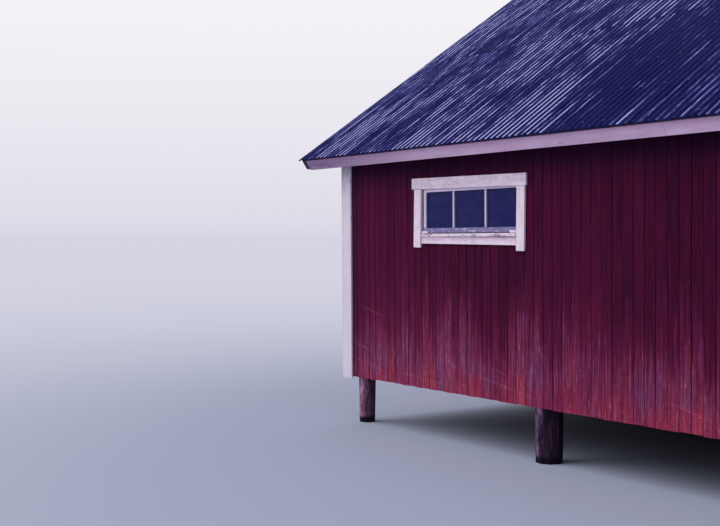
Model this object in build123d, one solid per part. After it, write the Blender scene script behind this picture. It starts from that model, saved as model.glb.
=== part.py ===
# A boarded lake boathouse on timber piles, with a low gable roof of corrugated sheets.
# Millimetres, +Z up. The origin is the middle of the plan, at the feet of the piles.
# X runs along the long walls and Y across them. The front wall faces -Y, the lake gable
# faces -X and the land gable faces +X. Each piece of the building is a node of its own,
# and like pieces share a node as solids that don't touch.

import os
from math import atan2, ceil, cos, sin

from build123d import *

os.makedirs("parts", exist_ok=True)


# Driving sizes of the building
pile_bay = 2770.0
pile_bay_count = 3
gable_oversail = 190.0
building_width = 6400.0
wall_foot_height = 488.0
eave_edge_height = 2815.0
eave_overhang = 305.0
gable_overhang = 443.0
roof_rise = 2.0
roof_run = 3.0
seat_gap = 0.3
overcut = 1.0

# Piles
slim_pile_radius = 86.5
stout_pile_radius = 122.0
pile_line_inset = 155.0
middle_row_end_inset = 565.0

# Girders, joists, floor and the bulkhead under the ridge
girder_width = 150.0
girder_height = 150.0
girder_lift = 20.0
joist_width = 50.0
joist_height = 125.0
joist_spacing = 600.0
deck_thickness = 28.0
bulkhead_thickness = 38.0
bulkhead_end_inset = 315.0

# Walls
cladding_thickness = 22.0
stud_depth = 95.0
stud_width = 48.0
stud_spacing = 600.0
rafter_notch_gap = 1.0
corner_board_width = 150.0
corner_board_thickness = 22.0
corner_board_drop = 20.0

# Windows, whose centres lie this far from the ends of the long walls
window_end_distance = 2056.0
window_width = 1354.0
window_height = 430.0
window_sill_height = 2008.0
casing_width = 122.0
casing_thickness = 22.0
head_casing_height = 108.0
head_casing_horn = 33.0
jamb_casing_hang = 148.0
bottom_casing_height = 70.0
lining_thickness = 20.0
sill_thickness = 35.0
sill_projection = 30.0
sash_depth = 40.0
sash_member = 30.0
sash_gap = 0.5
sash_setback = 12.0
pane_thickness = 4.0

# Doors
boat_door_width = 2600.0
boat_door_height = 2250.0
land_door_width = 900.0
land_door_height = 1950.0
door_thickness = 48.0
door_gap = 5.0
door_casing_width = 122.0
boat_hinge_length = 820.0
land_hinge_length = 560.0
hinge_on_casing = 90.0
hinge_height = 50.0
hinge_thickness = 6.0
hinge_end_distance = 330.0
handle_height = 1050.0
handle_edge_distance = 90.0
handle_length = 160.0
handle_width = 30.0
handle_reach = 45.0
handle_thickness = 14.0

# Roof
rafter_width = 48.0
rafter_depth = 105.0
rafter_spacing = 720.0
plate_bite = 40.0
roof_board_thickness = 20.0
roof_board_ridge_gap = 5.0
ridge_board_width = 40.0
ridge_board_depth = 190.0
tie_height = 100.0
tie_bearing = 60.0
tie_spacing = 2160.0
fascia_thickness = 22.0
fascia_height = 118.0
barge_board_thickness = 22.0
barge_board_height = 118.0
corrugation_pitch = 76.0
corrugation_depth = 18.0
sheet_thickness = 3.0
sheet_eave_drip = 45.0
sheet_side_drip = 18.0
sheet_ridge_gap = 32.0
lower_course_length = 2250.0
course_lap = 150.0
upper_course_lip = 8.0
ridge_cap_wing = 230.0
ridge_cap_thickness = 3.0
ridge_roll_radius = 24.0


# Sizes that follow from the driving ones
half_length = pile_bay * pile_bay_count / 2 + gable_oversail
half_width = building_width / 2
pile_line = half_width - pile_line_inset
pile_top = wall_foot_height + girder_lift
girder_top = pile_top + girder_height
joist_top = girder_top + joist_height
floor_height = joist_top + deck_thickness
frame_outside = half_width - cladding_thickness
frame_inside = frame_outside - stud_depth
gable_frame_outside = half_length - cladding_thickness
gable_frame_inside = gable_frame_outside - stud_depth

roof_pitch = atan2(roof_rise, roof_run)
slope_cos = cos(roof_pitch)
slope_sin = sin(roof_pitch)
sheet_edge_y = half_width + eave_overhang
board_top = corrugation_depth / 2 + sheet_thickness / 2 + seat_gap
board_bottom = board_top + roof_board_thickness
rafter_bottom = board_bottom + rafter_depth
board_edge_y = sheet_edge_y - sheet_eave_drip * slope_cos + board_top * slope_sin
corrugation_count = round(2 * (half_length + gable_overhang) / corrugation_pitch)
roof_half_length = corrugation_count * corrugation_pitch / 2
barge_outside = roof_half_length - sheet_side_drip
barge_inside = barge_outside - barge_board_thickness
end_rafter_inside = barge_inside - rafter_width


def slope_height(y, below_sheets):
    """Height at a distance y from the ridge, measured square to the slope below the sheets' middle."""
    climb = (sheet_edge_y - abs(y)) * slope_sin / slope_cos
    return eave_edge_height + climb - below_sheets / slope_cos


plate_top = slope_height(frame_outside, rafter_bottom) + plate_bite


def beam(x0, x1, y0, y1, z0, z1):
    """A squared timber or board between two corners."""
    middle = ((x0 + x1) / 2, (y0 + y1) / 2, (z0 + z1) / 2)
    return Pos(*middle) * Box(abs(x1 - x0), abs(y1 - y0), abs(z1 - z0))


def even_places(low, high, spacing):
    """Evenly spaced centres from low to high, no further apart than the spacing."""
    count = max(1, ceil((high - low) / spacing - 1e-6))
    return [low + (high - low) * step / count for step in range(count + 1)]


def prism_along_x(points, x0, x1):
    """A prism from x0 to x1 over an outline given as (y, z) points."""
    outline = Polyline(*[(x0, y, z) for y, z in points], close=True)
    return extrude(make_face(outline), x1 - x0, dir=(1, 0, 0))


def slope_layer(side, x0, x1, y_outer, y_inner, depth_top, depth_bottom):
    """A layer of the roof, cut square to the slope at the eave and upright at the ridge."""
    tuck = (depth_bottom - depth_top) * slope_sin
    y_tucked = y_outer - tuck
    points = [
        (side * y_outer, slope_height(y_outer, depth_top)),
        (side * y_tucked, slope_height(y_tucked, depth_bottom)),
        (side * y_inner, slope_height(y_inner, depth_bottom)),
        (side * y_inner, slope_height(y_inner, depth_top)),
    ]
    return prism_along_x(points, x0, x1)


def slope_board(side, x0, x1, y_outer, thickness, depth_top, depth_bottom):
    """A board that stands square to the slope, its outer face at y_outer along its top edge."""
    tuck = (depth_bottom - depth_top) * slope_sin
    y_back = y_outer - thickness * slope_cos
    points = [
        (side * y_outer, slope_height(y_outer, depth_top)),
        (side * (y_outer - tuck), slope_height(y_outer - tuck, depth_bottom)),
        (side * (y_back - tuck), slope_height(y_back - tuck, depth_bottom)),
        (side * y_back, slope_height(y_back, depth_top)),
    ]
    return prism_along_x(points, x0, x1)


def gable_prism(x0, x1, half_span, foot, below_sheets):
    """A gable wall's full outline, from its foot up to the slopes."""
    points = [
        (-half_span, foot),
        (half_span, foot),
        (half_span, slope_height(half_span, below_sheets)),
        (0, slope_height(0, below_sheets)),
        (-half_span, slope_height(half_span, below_sheets)),
    ]
    return prism_along_x(points, x0, x1)


def export(name, solids):
    """Write one node, whose solids don't touch each other."""
    export_step(Compound(children=list(solids)), f"parts/{name}.step")


# Piles: slim ones under the corners of the long walls, stout ones between and under the ridge
def pile_row(places, y, end_radius):
    piles = []
    for x in places:
        radius = end_radius if x in (places[0], places[-1]) else stout_pile_radius
        piles.append(Pos(x, y, pile_top / 2) * Cylinder(radius, pile_top))
    return piles


outer_row_end = half_length - gable_oversail
outer_places = even_places(-outer_row_end, outer_row_end, pile_bay)
middle_row_end = half_length - middle_row_end_inset
middle_places = even_places(-middle_row_end, middle_row_end, pile_bay)
export("front_piles", pile_row(outer_places, -pile_line, slim_pile_radius))
export("middle_piles", pile_row(middle_places, 0, stout_pile_radius))
export("back_piles", pile_row(outer_places, pile_line, slim_pile_radius))

# Girders along the three rows of piles, joists across them and the plank floor
girders = []
for y in (-pile_line, 0, pile_line):
    low, high = y - girder_width / 2, y + girder_width / 2
    girders.append(beam(-gable_frame_outside, gable_frame_outside, low, high, pile_top, girder_top))
export("pile_girders", girders)

end_joist = gable_frame_outside - joist_width / 2
joists = []
for x in even_places(-end_joist, end_joist, joist_spacing):
    low, high = x - joist_width / 2, x + joist_width / 2
    joists.append(beam(low, high, -frame_outside, frame_outside, girder_top, joist_top))
export("floor_joists", joists)

deck = beam(-gable_frame_outside, gable_frame_outside, -frame_outside, frame_outside,
            joist_top, floor_height)
export("floor_deck", [deck])

# Tarred planks on the far side of the middle piles, from the water up to the girder's top
bulkhead_end = half_length - bulkhead_end_inset
bulkhead = beam(-bulkhead_end, bulkhead_end, stout_pile_radius, stout_pile_radius + bulkhead_thickness,
                0, girder_top)
export("middle_bulkhead", [bulkhead])

# Rafters: pairs over the building, and one more pair under each end of the roof
ridge_board_top = slope_height(ridge_board_width / 2, board_bottom)
fascia_outer_y = board_edge_y - roof_board_thickness * slope_sin
rafter_outer_y = fascia_outer_y - fascia_thickness * slope_cos
gable_rafter = gable_frame_outside - rafter_width / 2
rafter_places = even_places(-gable_rafter, gable_rafter, rafter_spacing)


def long_wall_box(side, z0, z1):
    """The space that a long wall's frame takes, between two heights."""
    return beam(-gable_frame_outside, gable_frame_outside, side * frame_inside, side * frame_outside, z0, z1)


def rafter(side, x):
    timber = slope_layer(side, x - rafter_width / 2, x + rafter_width / 2,
                         rafter_outer_y, ridge_board_width / 2, board_bottom, rafter_bottom)
    return timber - long_wall_box(side, floor_height, plate_top)


rafters = [rafter(side, x) for side in (-1, 1) for x in rafter_places]
export("rafters", rafters)

end_rafters = []
for side in (-1, 1):
    for low, high in ((-barge_inside, -end_rafter_inside), (end_rafter_inside, barge_inside)):
        end_rafters.append(slope_layer(side, low, high, fascia_outer_y, ridge_board_width / 2,
                                       board_bottom, rafter_bottom))
export("end_rafters", end_rafters)

ridge_board = beam(-barge_inside, barge_inside, -ridge_board_width / 2, ridge_board_width / 2,
                   ridge_board_top - ridge_board_depth, ridge_board_top)
export("ridge_board", [ridge_board])
ridge_slot = beam(-barge_inside, barge_inside, -ridge_board_width / 2, ridge_board_width / 2,
                  ridge_board_top - ridge_board_depth, slope_height(0, board_top))

tie_end = frame_inside + tie_bearing
rafters_per_tie = max(1, round(tie_spacing / (rafter_places[1] - rafter_places[0])))
ties = []
for x in rafter_places[rafters_per_tie:-1:rafters_per_tie]:
    low, high = x + rafter_width / 2, x + rafter_width * 1.5
    ties.append(beam(low, high, -tie_end, tie_end, plate_top, plate_top + tie_height))
export("tie_beams", ties)

# Openings of the four windows and the two doors
window_places = (-half_length + window_end_distance, half_length - window_end_distance)
window_foot = window_sill_height - sill_thickness
window_head = window_sill_height + window_height


def window_box(side, x, grow, y_out, y_in, foot=window_foot):
    """The space of a window opening, grown all round, between two distances from the ridge line."""
    half = window_width / 2 + grow
    return beam(x - half, x + half, side * y_out, side * y_in, foot - grow, window_head + grow)


def door_box(side, width, height, grow, x_out, x_in):
    """The space of a door opening, grown at its sides and head."""
    half = width / 2 + grow
    return beam(side * x_out, side * x_in, -half, half, floor_height, floor_height + height + grow)


LAKE = -1
LAND = 1
door_sizes = {LAKE: (boat_door_width, boat_door_height), LAND: (land_door_width, land_door_height)}


# Stud frames of the long walls, with trimmers round the windows
def long_wall_frame(side):
    frame = long_wall_box(side, floor_height, floor_height + stud_width)
    frame += long_wall_box(side, plate_top - stud_width, plate_top)
    end_stud = gable_frame_outside - stud_width / 2
    for x in even_places(-end_stud, end_stud, stud_spacing):
        frame += beam(x - stud_width / 2, x + stud_width / 2, side * frame_inside, side * frame_outside,
                      floor_height, plate_top)
    for x in window_places:
        frame += window_box(side, x, lining_thickness + stud_width, frame_inside, frame_outside)
        frame -= window_box(side, x, lining_thickness, frame_inside - overcut, frame_outside + overcut)
    return frame


export("front_wall_frame", [long_wall_frame(-1)])
export("back_wall_frame", [long_wall_frame(1)])


# Stud frames of the gables, between the long walls' frames, with trimmers round the doors
def gable_wall_frame(side):
    low, high = sorted((side * gable_frame_inside, side * gable_frame_outside))
    outline = gable_prism(low, high, frame_inside, floor_height, rafter_bottom)
    hollow = gable_prism(low, high, frame_inside, floor_height + stud_width,
                         rafter_bottom + stud_width)
    frame = outline - hollow
    end_stud = frame_inside - stud_width / 2
    for y in even_places(-end_stud, end_stud, stud_spacing):
        stud = beam(low, high, y - stud_width / 2, y + stud_width / 2,
                    floor_height, slope_height(0, rafter_bottom))
        frame += stud & outline
    width, height = door_sizes[side]
    frame += door_box(side, width, height, stud_width, gable_frame_inside, gable_frame_outside)
    frame -= door_box(side, width, height, 0, gable_frame_inside - overcut,
                      gable_frame_outside + overcut)
    return frame - ridge_slot


export("lake_gable_frame", [gable_wall_frame(LAKE)])
export("land_gable_frame", [gable_wall_frame(LAND)])


# Upright boarding of the long walls, notched round the rafters
def long_cladding(side):
    top = slope_height(half_width, board_bottom)
    skin = beam(-half_length, half_length, side * frame_outside, side * half_width, wall_foot_height, top)
    notch = rafter_width / 2 + rafter_notch_gap
    for x in rafter_places:
        skin -= beam(x - notch, x + notch, side * (frame_outside - overcut),
                     side * (half_width + overcut),
                     slope_height(half_width, rafter_bottom) - rafter_notch_gap, top + overcut)
    for x in window_places:
        skin -= window_box(side, x, lining_thickness, frame_outside - overcut, half_width + overcut)
    return skin


export("front_cladding", [long_cladding(-1)])
export("back_cladding", [long_cladding(1)])


# Upright boarding of the gables, up to the underside of the roof boards
def gable_cladding(side):
    low, high = sorted((side * gable_frame_outside, side * half_length))
    skin = gable_prism(low, high, frame_outside, wall_foot_height, board_bottom)
    width, height = door_sizes[side]
    skin -= door_box(side, width, height, 0, gable_frame_outside - overcut, half_length + overcut)
    return skin - ridge_slot


export("lake_gable_cladding", [gable_cladding(LAKE)])
export("land_gable_cladding", [gable_cladding(LAND)])

# Corner boards, one on each side of each corner, the gable's one covering the other's edge
corner_foot = wall_foot_height - corner_board_drop
corner_outside = half_width + corner_board_thickness
long_corner_boards = []
gable_corner_boards = []
for x_side in (-1, 1):
    for y_side in (-1, 1):
        long_corner_boards.append(beam(
            x_side * half_length, x_side * (half_length - corner_board_width),
            y_side * half_width, y_side * corner_outside,
            corner_foot, slope_height(corner_outside, rafter_bottom) - rafter_notch_gap))
        gable_corner_boards.append(beam(
            x_side * half_length, x_side * (half_length + corner_board_thickness),
            y_side * corner_outside, y_side * (corner_outside - corner_board_width),
            corner_foot, slope_height(corner_outside, board_bottom)))
export("long_side_corner_boards", long_corner_boards)
export("gable_side_corner_boards", gable_corner_boards)


# Windows: linings through the wall, sills, casings outside, and fixed sashes with their panes
def window_lining(side, x):
    ring = window_box(side, x, lining_thickness, frame_inside, half_width)
    return ring - window_box(side, x, 0, frame_inside - overcut, half_width + overcut)


def window_sill(side, x):
    half = window_width / 2 - seat_gap
    return beam(x - half, x + half, side * (half_width - sash_setback - sash_depth),
                side * (half_width + sill_projection), window_foot, window_sill_height)


def window_casing(side, x):
    inner = window_width / 2
    outer = inner + casing_width
    face, back = side * (half_width + casing_thickness), side * half_width
    head_half = outer + head_casing_horn
    casing = beam(x - head_half, x + head_half, back, face, window_head, window_head + head_casing_height)
    for low, high in ((x - outer, x - inner), (x + inner, x + outer)):
        casing += beam(low, high, back, face, window_sill_height - jamb_casing_hang, window_head)
    return casing + beam(x - inner, x + inner, back, face, window_foot - bottom_casing_height, window_foot)


def window_sash(side, x):
    face = half_width - sash_setback
    sash = window_box(side, x, -sash_gap, face - sash_depth, face, window_sill_height)
    return sash - window_box(side, x, -sash_gap - sash_member, face - sash_depth - overcut,
                             face + overcut, window_sill_height)


def window_pane(side, x):
    middle = half_width - sash_setback - sash_depth / 2
    return window_box(side, x, -sash_gap - sash_member - seat_gap, middle - pane_thickness / 2,
                      middle + pane_thickness / 2, window_sill_height)


for name, make in (("window_linings", window_lining), ("window_sills", window_sill),
                   ("window_casings", window_casing), ("window_sashes", window_sash),
                   ("window_panes", window_pane)):
    export(name, [make(side, x) for side in (-1, 1) for x in window_places])


# Doors: their casings, boarded leaves flush with the casings, strap hinges and pulls
door_face = half_length + casing_thickness


def door_casing(side):
    width, height = door_sizes[side]
    casing = door_box(side, width, height, door_casing_width, half_length, door_face)
    return casing - door_box(side, width, height, 0, half_length - overcut, door_face + overcut)


def door_leaf(side, low, high, height):
    return beam(side * (door_face - door_thickness), side * door_face, low + door_gap / 2,
                high - door_gap / 2, floor_height + door_gap, floor_height + height - door_gap)


def strap_hinges(side, hinge_edge, inward, length, height):
    """Two straps from the casing over the leaf; inward is the direction of the leaf along Y."""
    low = hinge_edge - inward * hinge_on_casing
    straps = []
    for z in (floor_height + hinge_end_distance, floor_height + height - hinge_end_distance):
        straps.append(beam(side * door_face, side * (door_face + hinge_thickness), low,
                           low + inward * length, z - hinge_height / 2, z + hinge_height / 2))
    return straps


def door_pull(side, y):
    """An upright bar on two feet."""
    foot = floor_height + handle_height - handle_length / 2
    low, high = y - handle_width / 2, y + handle_width / 2
    reach = door_face + handle_reach
    bar = beam(side * (reach - handle_thickness), side * reach, low, high, foot, foot + handle_length)
    for z in (foot, foot + handle_length - handle_thickness):
        bar += beam(side * door_face, side * reach, low, high, z, z + handle_thickness)
    return bar


boat_edge = boat_door_width / 2
land_edge = land_door_width / 2
export("boat_door_casing", [door_casing(LAKE)])
export("boat_door_left", [door_leaf(LAKE, 0, boat_edge, boat_door_height)])
export("boat_door_right", [door_leaf(LAKE, -boat_edge, 0, boat_door_height)])
export("boat_door_hinges",
       strap_hinges(LAKE, boat_edge, -1, boat_hinge_length, boat_door_height)
       + strap_hinges(LAKE, -boat_edge, 1, boat_hinge_length, boat_door_height))
export("boat_door_pulls", [door_pull(LAKE, -handle_edge_distance), door_pull(LAKE, handle_edge_distance)])
export("land_door_casing", [door_casing(LAND)])
export("land_door", [door_leaf(LAND, -land_edge, land_edge, land_door_height)])
export("land_door_hinges", strap_hinges(LAND, land_edge, -1, land_hinge_length, land_door_height))
export("land_door_pull", [door_pull(LAND, -land_edge + handle_edge_distance)])

# Roof boards, fascias over the rafter ends and barge boards over the end rafters
for side, name in ((-1, "front"), (1, "back")):
    boards = slope_layer(side, -barge_inside, barge_inside, board_edge_y, roof_board_ridge_gap,
                         board_top, board_bottom)
    export(f"{name}_roof_boards", [boards])
    fascia = slope_board(side, -end_rafter_inside, end_rafter_inside, fascia_outer_y,
                         fascia_thickness, board_bottom, board_bottom + fascia_height)
    export(f"{name}_fascia", [fascia])

for x_side, name in ((LAKE, "lake"), (LAND, "land")):
    low, high = sorted((x_side * barge_inside, x_side * barge_outside))
    barges = [slope_layer(side, low, high, board_edge_y, seat_gap / 2, board_top,
                          board_top + barge_board_height) for side in (-1, 1)]
    export(f"{name}_barge_boards", barges)


# Corrugated sheets: a lower and an upper course on each slope, the upper lapped over the lower
def sheet_course(side, start, end, lift, lip):
    """One course as a single sheet of arcs, from start to end up the slope."""
    half_wave = corrugation_pitch / 2
    crest = corrugation_depth / 2
    edges = []
    for skin in (lift + sheet_thickness / 2, lift - sheet_thickness / 2):
        for step in range(2 * corrugation_count):
            x = -roof_half_length + step * half_wave
            top = crest if step % 2 == 0 else -crest
            edges.append(ThreePointArc((x, skin), (x + half_wave / 2, skin + top), (x + half_wave, skin)))
        if lip:
            edges.append(Line((-roof_half_length - lip, skin), (-roof_half_length, skin)))
            edges.append(Line((roof_half_length, skin), (roof_half_length + lip, skin)))
    for x in (-roof_half_length - lip, roof_half_length + lip):
        edges.append(Line((x, lift - sheet_thickness / 2), (x, lift + sheet_thickness / 2)))
    uphill = Vector(0, -side * slope_cos, slope_sin)
    foot = Vector(0, side * sheet_edge_y, eave_edge_height) + uphill * start
    plane = Plane(origin=foot, x_dir=(side, 0, 0), z_dir=uphill)
    return extrude(plane * make_face(edges), end - start)


slope_length = sheet_edge_y / slope_cos
upper_course_start = lower_course_length - course_lap
upper_course_end = slope_length - sheet_ridge_gap
upper_course_lift = sheet_thickness + seat_gap
for side, name in ((-1, "front"), (1, "back")):
    export(f"{name}_lower_sheets", [sheet_course(side, 0, lower_course_length, 0, 0)])
    export(f"{name}_upper_sheets", [sheet_course(side, upper_course_start, upper_course_end,
                                                 upper_course_lift, upper_course_lip)])

# Ridge cap: two wings on the crests of the upper sheets and a roll over the ridge
cap_bottom = -(upper_course_lift + corrugation_depth / 2 + sheet_thickness / 2 + seat_gap)
cap_top = cap_bottom - ridge_cap_thickness
cap_outer_y = ridge_cap_wing * slope_cos
cap_end = roof_half_length + upper_course_lip
cap = Rot(0, 90, 0) * Cylinder(ridge_roll_radius, 2 * cap_end)
cap = Pos(0, 0, slope_height(0, cap_top)) * cap
for side in (-1, 1):
    cap += slope_layer(side, -cap_end, cap_end, cap_outer_y, 0, cap_top, cap_bottom)
export("ridge_cap", [cap])
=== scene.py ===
# A weathered red boathouse that stands over the water on timber piles.
# Metres, +Z up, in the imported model's own frame: X runs along the long walls, the front
# wall faces -Y, the lake gable faces -X, and the feet of the piles are at Z = 0.

import math
import random

import bmesh
import bpy
from mathutils import Matrix, Vector, noise


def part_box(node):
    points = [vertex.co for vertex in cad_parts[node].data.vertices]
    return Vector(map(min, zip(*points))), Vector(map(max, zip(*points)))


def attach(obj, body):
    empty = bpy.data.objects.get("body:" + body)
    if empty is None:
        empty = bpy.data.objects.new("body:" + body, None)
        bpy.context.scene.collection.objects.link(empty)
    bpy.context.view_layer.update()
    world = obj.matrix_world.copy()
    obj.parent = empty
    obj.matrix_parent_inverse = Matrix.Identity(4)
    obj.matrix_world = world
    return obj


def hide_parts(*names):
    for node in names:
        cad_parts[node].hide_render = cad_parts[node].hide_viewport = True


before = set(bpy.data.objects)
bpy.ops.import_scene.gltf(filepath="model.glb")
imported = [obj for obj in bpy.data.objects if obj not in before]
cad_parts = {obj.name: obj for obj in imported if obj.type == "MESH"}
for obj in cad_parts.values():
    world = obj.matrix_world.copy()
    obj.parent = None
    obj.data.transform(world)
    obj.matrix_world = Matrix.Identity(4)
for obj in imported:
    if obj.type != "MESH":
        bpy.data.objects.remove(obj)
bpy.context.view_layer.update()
scene = bpy.context.scene
scene.view_settings.view_transform = "Standard"


# The view: from the lake, at eye height, past the front wall towards the lake end.
# Its lens and its shifts were fitted to the straight lines of the walls and the roof.
def in_scene(name, data):
    made = bpy.data.objects.new(name, data)
    scene.collection.objects.link(made)
    return made


eye_place = (5.921, -10.076, 1.985)
eye_turn = (88.72, 0.39, 55.74)
lake_view = bpy.data.cameras.new("lake_view")
lake_view.sensor_width = 36.0
lake_view.lens = 57.37
lake_view.shift_x = 0.009
lake_view.shift_y = -0.0014
lake_view.clip_end = 300.0
camera = in_scene("lake_view", lake_view)
camera.location = eye_place
camera.rotation_euler = [math.radians(angle) for angle in eye_turn]
scene.camera = camera


# Floor and light: a pale floor, an even pale sky and one large soft lamp from the lake's
# open side. The node helpers are used by every finish and every repeated piece below.
class NodeWork:
    """Short ways to add nodes to a tree and to join them."""

    def __init__(self, tree):
        self.tree = tree

    def plug(self, socket, value):
        if isinstance(value, bpy.types.NodeSocket):
            self.tree.links.new(value, socket)
        else:
            socket.default_value = value

    def node(self, kind, settings=None, *values, **inputs):
        """A node with its settings, and its inputs by their order or by their names."""
        made = self.tree.nodes.new(kind)
        for name, value in (settings or {}).items():
            setattr(made, name, value)
        for socket, value in zip(made.inputs, values):
            self.plug(socket, value)
        for name, value in inputs.items():
            self.plug(made.inputs[name.replace("_", " ")], value)
        return made

    def maths(self, operation, *values):
        return self.node("ShaderNodeMath", {"operation": operation}, *values).outputs[0]

    def add(self, total, *others):
        for other in others:
            total = self.maths("ADD", total, other)
        return total

    def times(self, product, *others):
        for other in others:
            product = self.maths("MULTIPLY", product, other)
        return product

    def size(self, value):
        return self.maths("ABSOLUTE", value)

    def swayed(self, value, wave, amount):
        """The value, moved up and down by a wave that runs about a half."""
        return self.add(value, self.times(self.maths("SUBTRACT", wave, 0.5), amount))

    def vector_maths(self, operation, first, second, outlet="Vector"):
        return self.node("ShaderNodeVectorMath", {"operation": operation}, first, second).outputs[outlet]

    def parts(self, place):
        """The three coordinates of a place."""
        return self.node("ShaderNodeSeparateXYZ", None, place).outputs

    def between(self, value, low, high, to_low=0.0, to_high=1.0, smooth=False):
        """The value's way from low to high, clamped, as a share from to_low to to_high."""
        made = self.node("ShaderNodeMapRange", {"interpolation_type": "SMOOTHSTEP" if smooth else "LINEAR"},
                         Value=value, From_Min=low, From_Max=high, To_Min=to_low, To_Max=to_high)
        return made.outputs["Result"]

    def blend(self, share, first, second, mode="MIX"):
        """A colour between two, by share."""
        made = self.node("ShaderNodeMix", {"data_type": "RGBA", "blend_type": mode}, share)
        for index, value in ((6, first), (7, second)):
            self.plug(made.inputs[index], (*value, 1.0) if isinstance(value, tuple) else value)
        return made.outputs[2]

    def ramp(self, driver, low, high, first, second):
        return self.blend(self.between(driver, low, high), first, second)

    def coats(self, colour, *layers):
        """Colours laid over a first one. A layer has its driver, the driver's value where none of
        it shows, the value where the most of it shows, that most as a share, and its colour."""
        for driver, none_at, most_at, most, over in layers:
            colour = self.blend(self.between(driver, none_at, most_at, 0.0, most), colour, over)
        return colour


class Finish(NodeWork):
    """A surface finish: a material with one shader, and the textures that drive it."""

    def __init__(self, name, roughness=0.8, gloss=0.12):
        self.material = bpy.data.materials.new(name)
        self.material.use_nodes = True
        super().__init__(self.material.node_tree)
        self.shader = self.tree.nodes["Principled BSDF"]
        self.shader.inputs["Roughness"].default_value = roughness
        self.shader.inputs["IOR"].default_value = 1.45
        self.shader.inputs["Specular IOR Level"].default_value = gloss
        self.place = self.node("ShaderNodeTexCoord").outputs["Object"]

    def stretched(self, place, scale):
        return self.node("ShaderNodeMapping", None, Vector=place, Scale=scale).outputs["Vector"]

    def cloud(self, scale, detail=3.0, roughness=0.55, place=None):
        """Soft noise at one scale, or at a scale for each axis."""
        place = self.place if place is None else place
        if isinstance(scale, tuple):
            place, scale = self.stretched(place, scale), 1.0
        return self.node("ShaderNodeTexNoise", None, Vector=place, Scale=scale, Detail=detail,
                         Roughness=roughness).outputs["Fac"]

    def grain(self):
        """The place in a board, with Z along its fibres."""
        return self.node("ShaderNodeAttribute", {"attribute_name": "fibre"}).outputs["Vector"]

    def fibres(self, scale, detail=4.0, roughness=0.55):
        return self.cloud(scale, detail, roughness, self.grain())

    def own(self, name):
        """A value that the surface brings with it."""
        return self.node("ShaderNodeAttribute", {"attribute_name": name}).outputs["Fac"]

    def colour(self, value):
        self.plug(self.shader.inputs["Base Color"], (*value, 1.0) if isinstance(value, tuple) else value)

    def relief(self, height, distance, strength):
        bump = self.node("ShaderNodeBump", None, Height=height, Distance=distance, Strength=strength)
        self.plug(self.shader.inputs["Normal"], bump.outputs["Normal"])


mist_colour = (0.665, 0.658, 0.765)
high_colour = (0.94, 0.925, 0.95)
high_direction = 0.25
high_bend = 0.6
floor_colour = (0.36, 0.39, 0.53)
floor_reach = 260.0
floor_clear = 6.5
sky_strength = 0.58
lamp_strength = 2.0
lamp_spread = math.radians(60.0)
lamp_side = (-0.55, -0.62, 0.75)

floor_finish = Finish("pale_floor", roughness=0.9)
floor_finish.colour(floor_colour)
floor_distance = floor_finish.vector_maths("DISTANCE", floor_finish.place, (0.0, 0.0, 0.0), "Value")
floor_far = floor_finish.between(floor_finish.maths("DIVIDE", floor_clear, floor_distance), 1.0, 0.0,
                                 smooth=True)
floor_mist = floor_finish.node("ShaderNodeEmission", None, Color=(*mist_colour, 1.0))
floor_mix = floor_finish.node("ShaderNodeMixShader", None, floor_far, floor_finish.shader.outputs[0],
                              floor_mist.outputs[0])
floor_finish.plug(floor_finish.tree.nodes["Material Output"].inputs["Surface"], floor_mix.outputs[0])
floor_mesh = bpy.data.meshes.new("floor")
floor_mesh.from_pydata(
    [(x * floor_reach, y * floor_reach, 0.0) for x, y in ((-1, -1), (1, -1), (1, 1), (-1, 1))],
    [], [(0, 1, 2, 3)])
floor_mesh.materials.append(floor_finish.material)
floor = in_scene("floor", floor_mesh)

sky = bpy.data.worlds.new("mist")
sky.use_nodes = True
scene.world = sky
air = NodeWork(sky.node_tree)
air.tree.nodes.clear()
ray = air.node("ShaderNodeLightPath").outputs
seen = air.maths("MAXIMUM", ray["Is Camera Ray"], ray["Is Glossy Ray"])
seen = air.maths("MAXIMUM", seen, ray["Is Transmission Ray"])
light_side = air.node("ShaderNodeBackground", None, Color=(1.0, 1.0, 1.0, 1.0), Strength=sky_strength)
direction = air.parts(air.node("ShaderNodeTexCoord").outputs["Generated"])["Z"]
high_share = air.maths("POWER", air.between(direction, 0.0, high_direction), high_bend)
view_side = air.node("ShaderNodeBackground", None, Strength=1.0,
                     Color=air.blend(high_share, mist_colour, high_colour))
sides = air.node("ShaderNodeMixShader", None, seen, light_side.outputs[0], view_side.outputs[0])
air.node("ShaderNodeOutputWorld", None, Surface=sides.outputs[0])

lamp_data = bpy.data.lights.new("lake_light", "SUN")
lamp_data.energy = lamp_strength
lamp_data.angle = lamp_spread
lamp = in_scene("lake_light", lamp_data)
lamp.rotation_euler = Vector(lamp_side).to_track_quat("Z", "Y").to_euler()


# Piles: peeled softwood trunks, driven into the lake bed. The stout ones keep flakes of
# bark, all have checks along the grain, and the foot of each is dark with water. The side
# of each away from the lake is darkened as painted shade.
MM = 0.001


def finished(name, mesh, finish, slot, *nodes):
    """Makes the mesh a piece of the one fixed body, in place of the nodes. The slot is not used."""
    mesh.materials.clear()
    mesh.materials.append(finish.material)
    piece = in_scene(name, mesh)
    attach(piece, "root")
    if nodes:
        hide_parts(*nodes)


def as_mesh(shape, name):
    mesh = bpy.data.meshes.new(name)
    shape.to_mesh(mesh)
    shape.free()
    return mesh


def skin(shape, rings):
    """Faces from each ring of points to the next, and one over each end."""
    count = len(rings[0])
    for near, far in zip(rings, rings[1:]):
        for number in range(count):
            after = (number + 1) % count
            shape.faces.new((near[number], near[after], far[after], far[number]))
    shape.faces.new(list(reversed(rings[0])))
    shape.faces.new(rings[-1])


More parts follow.
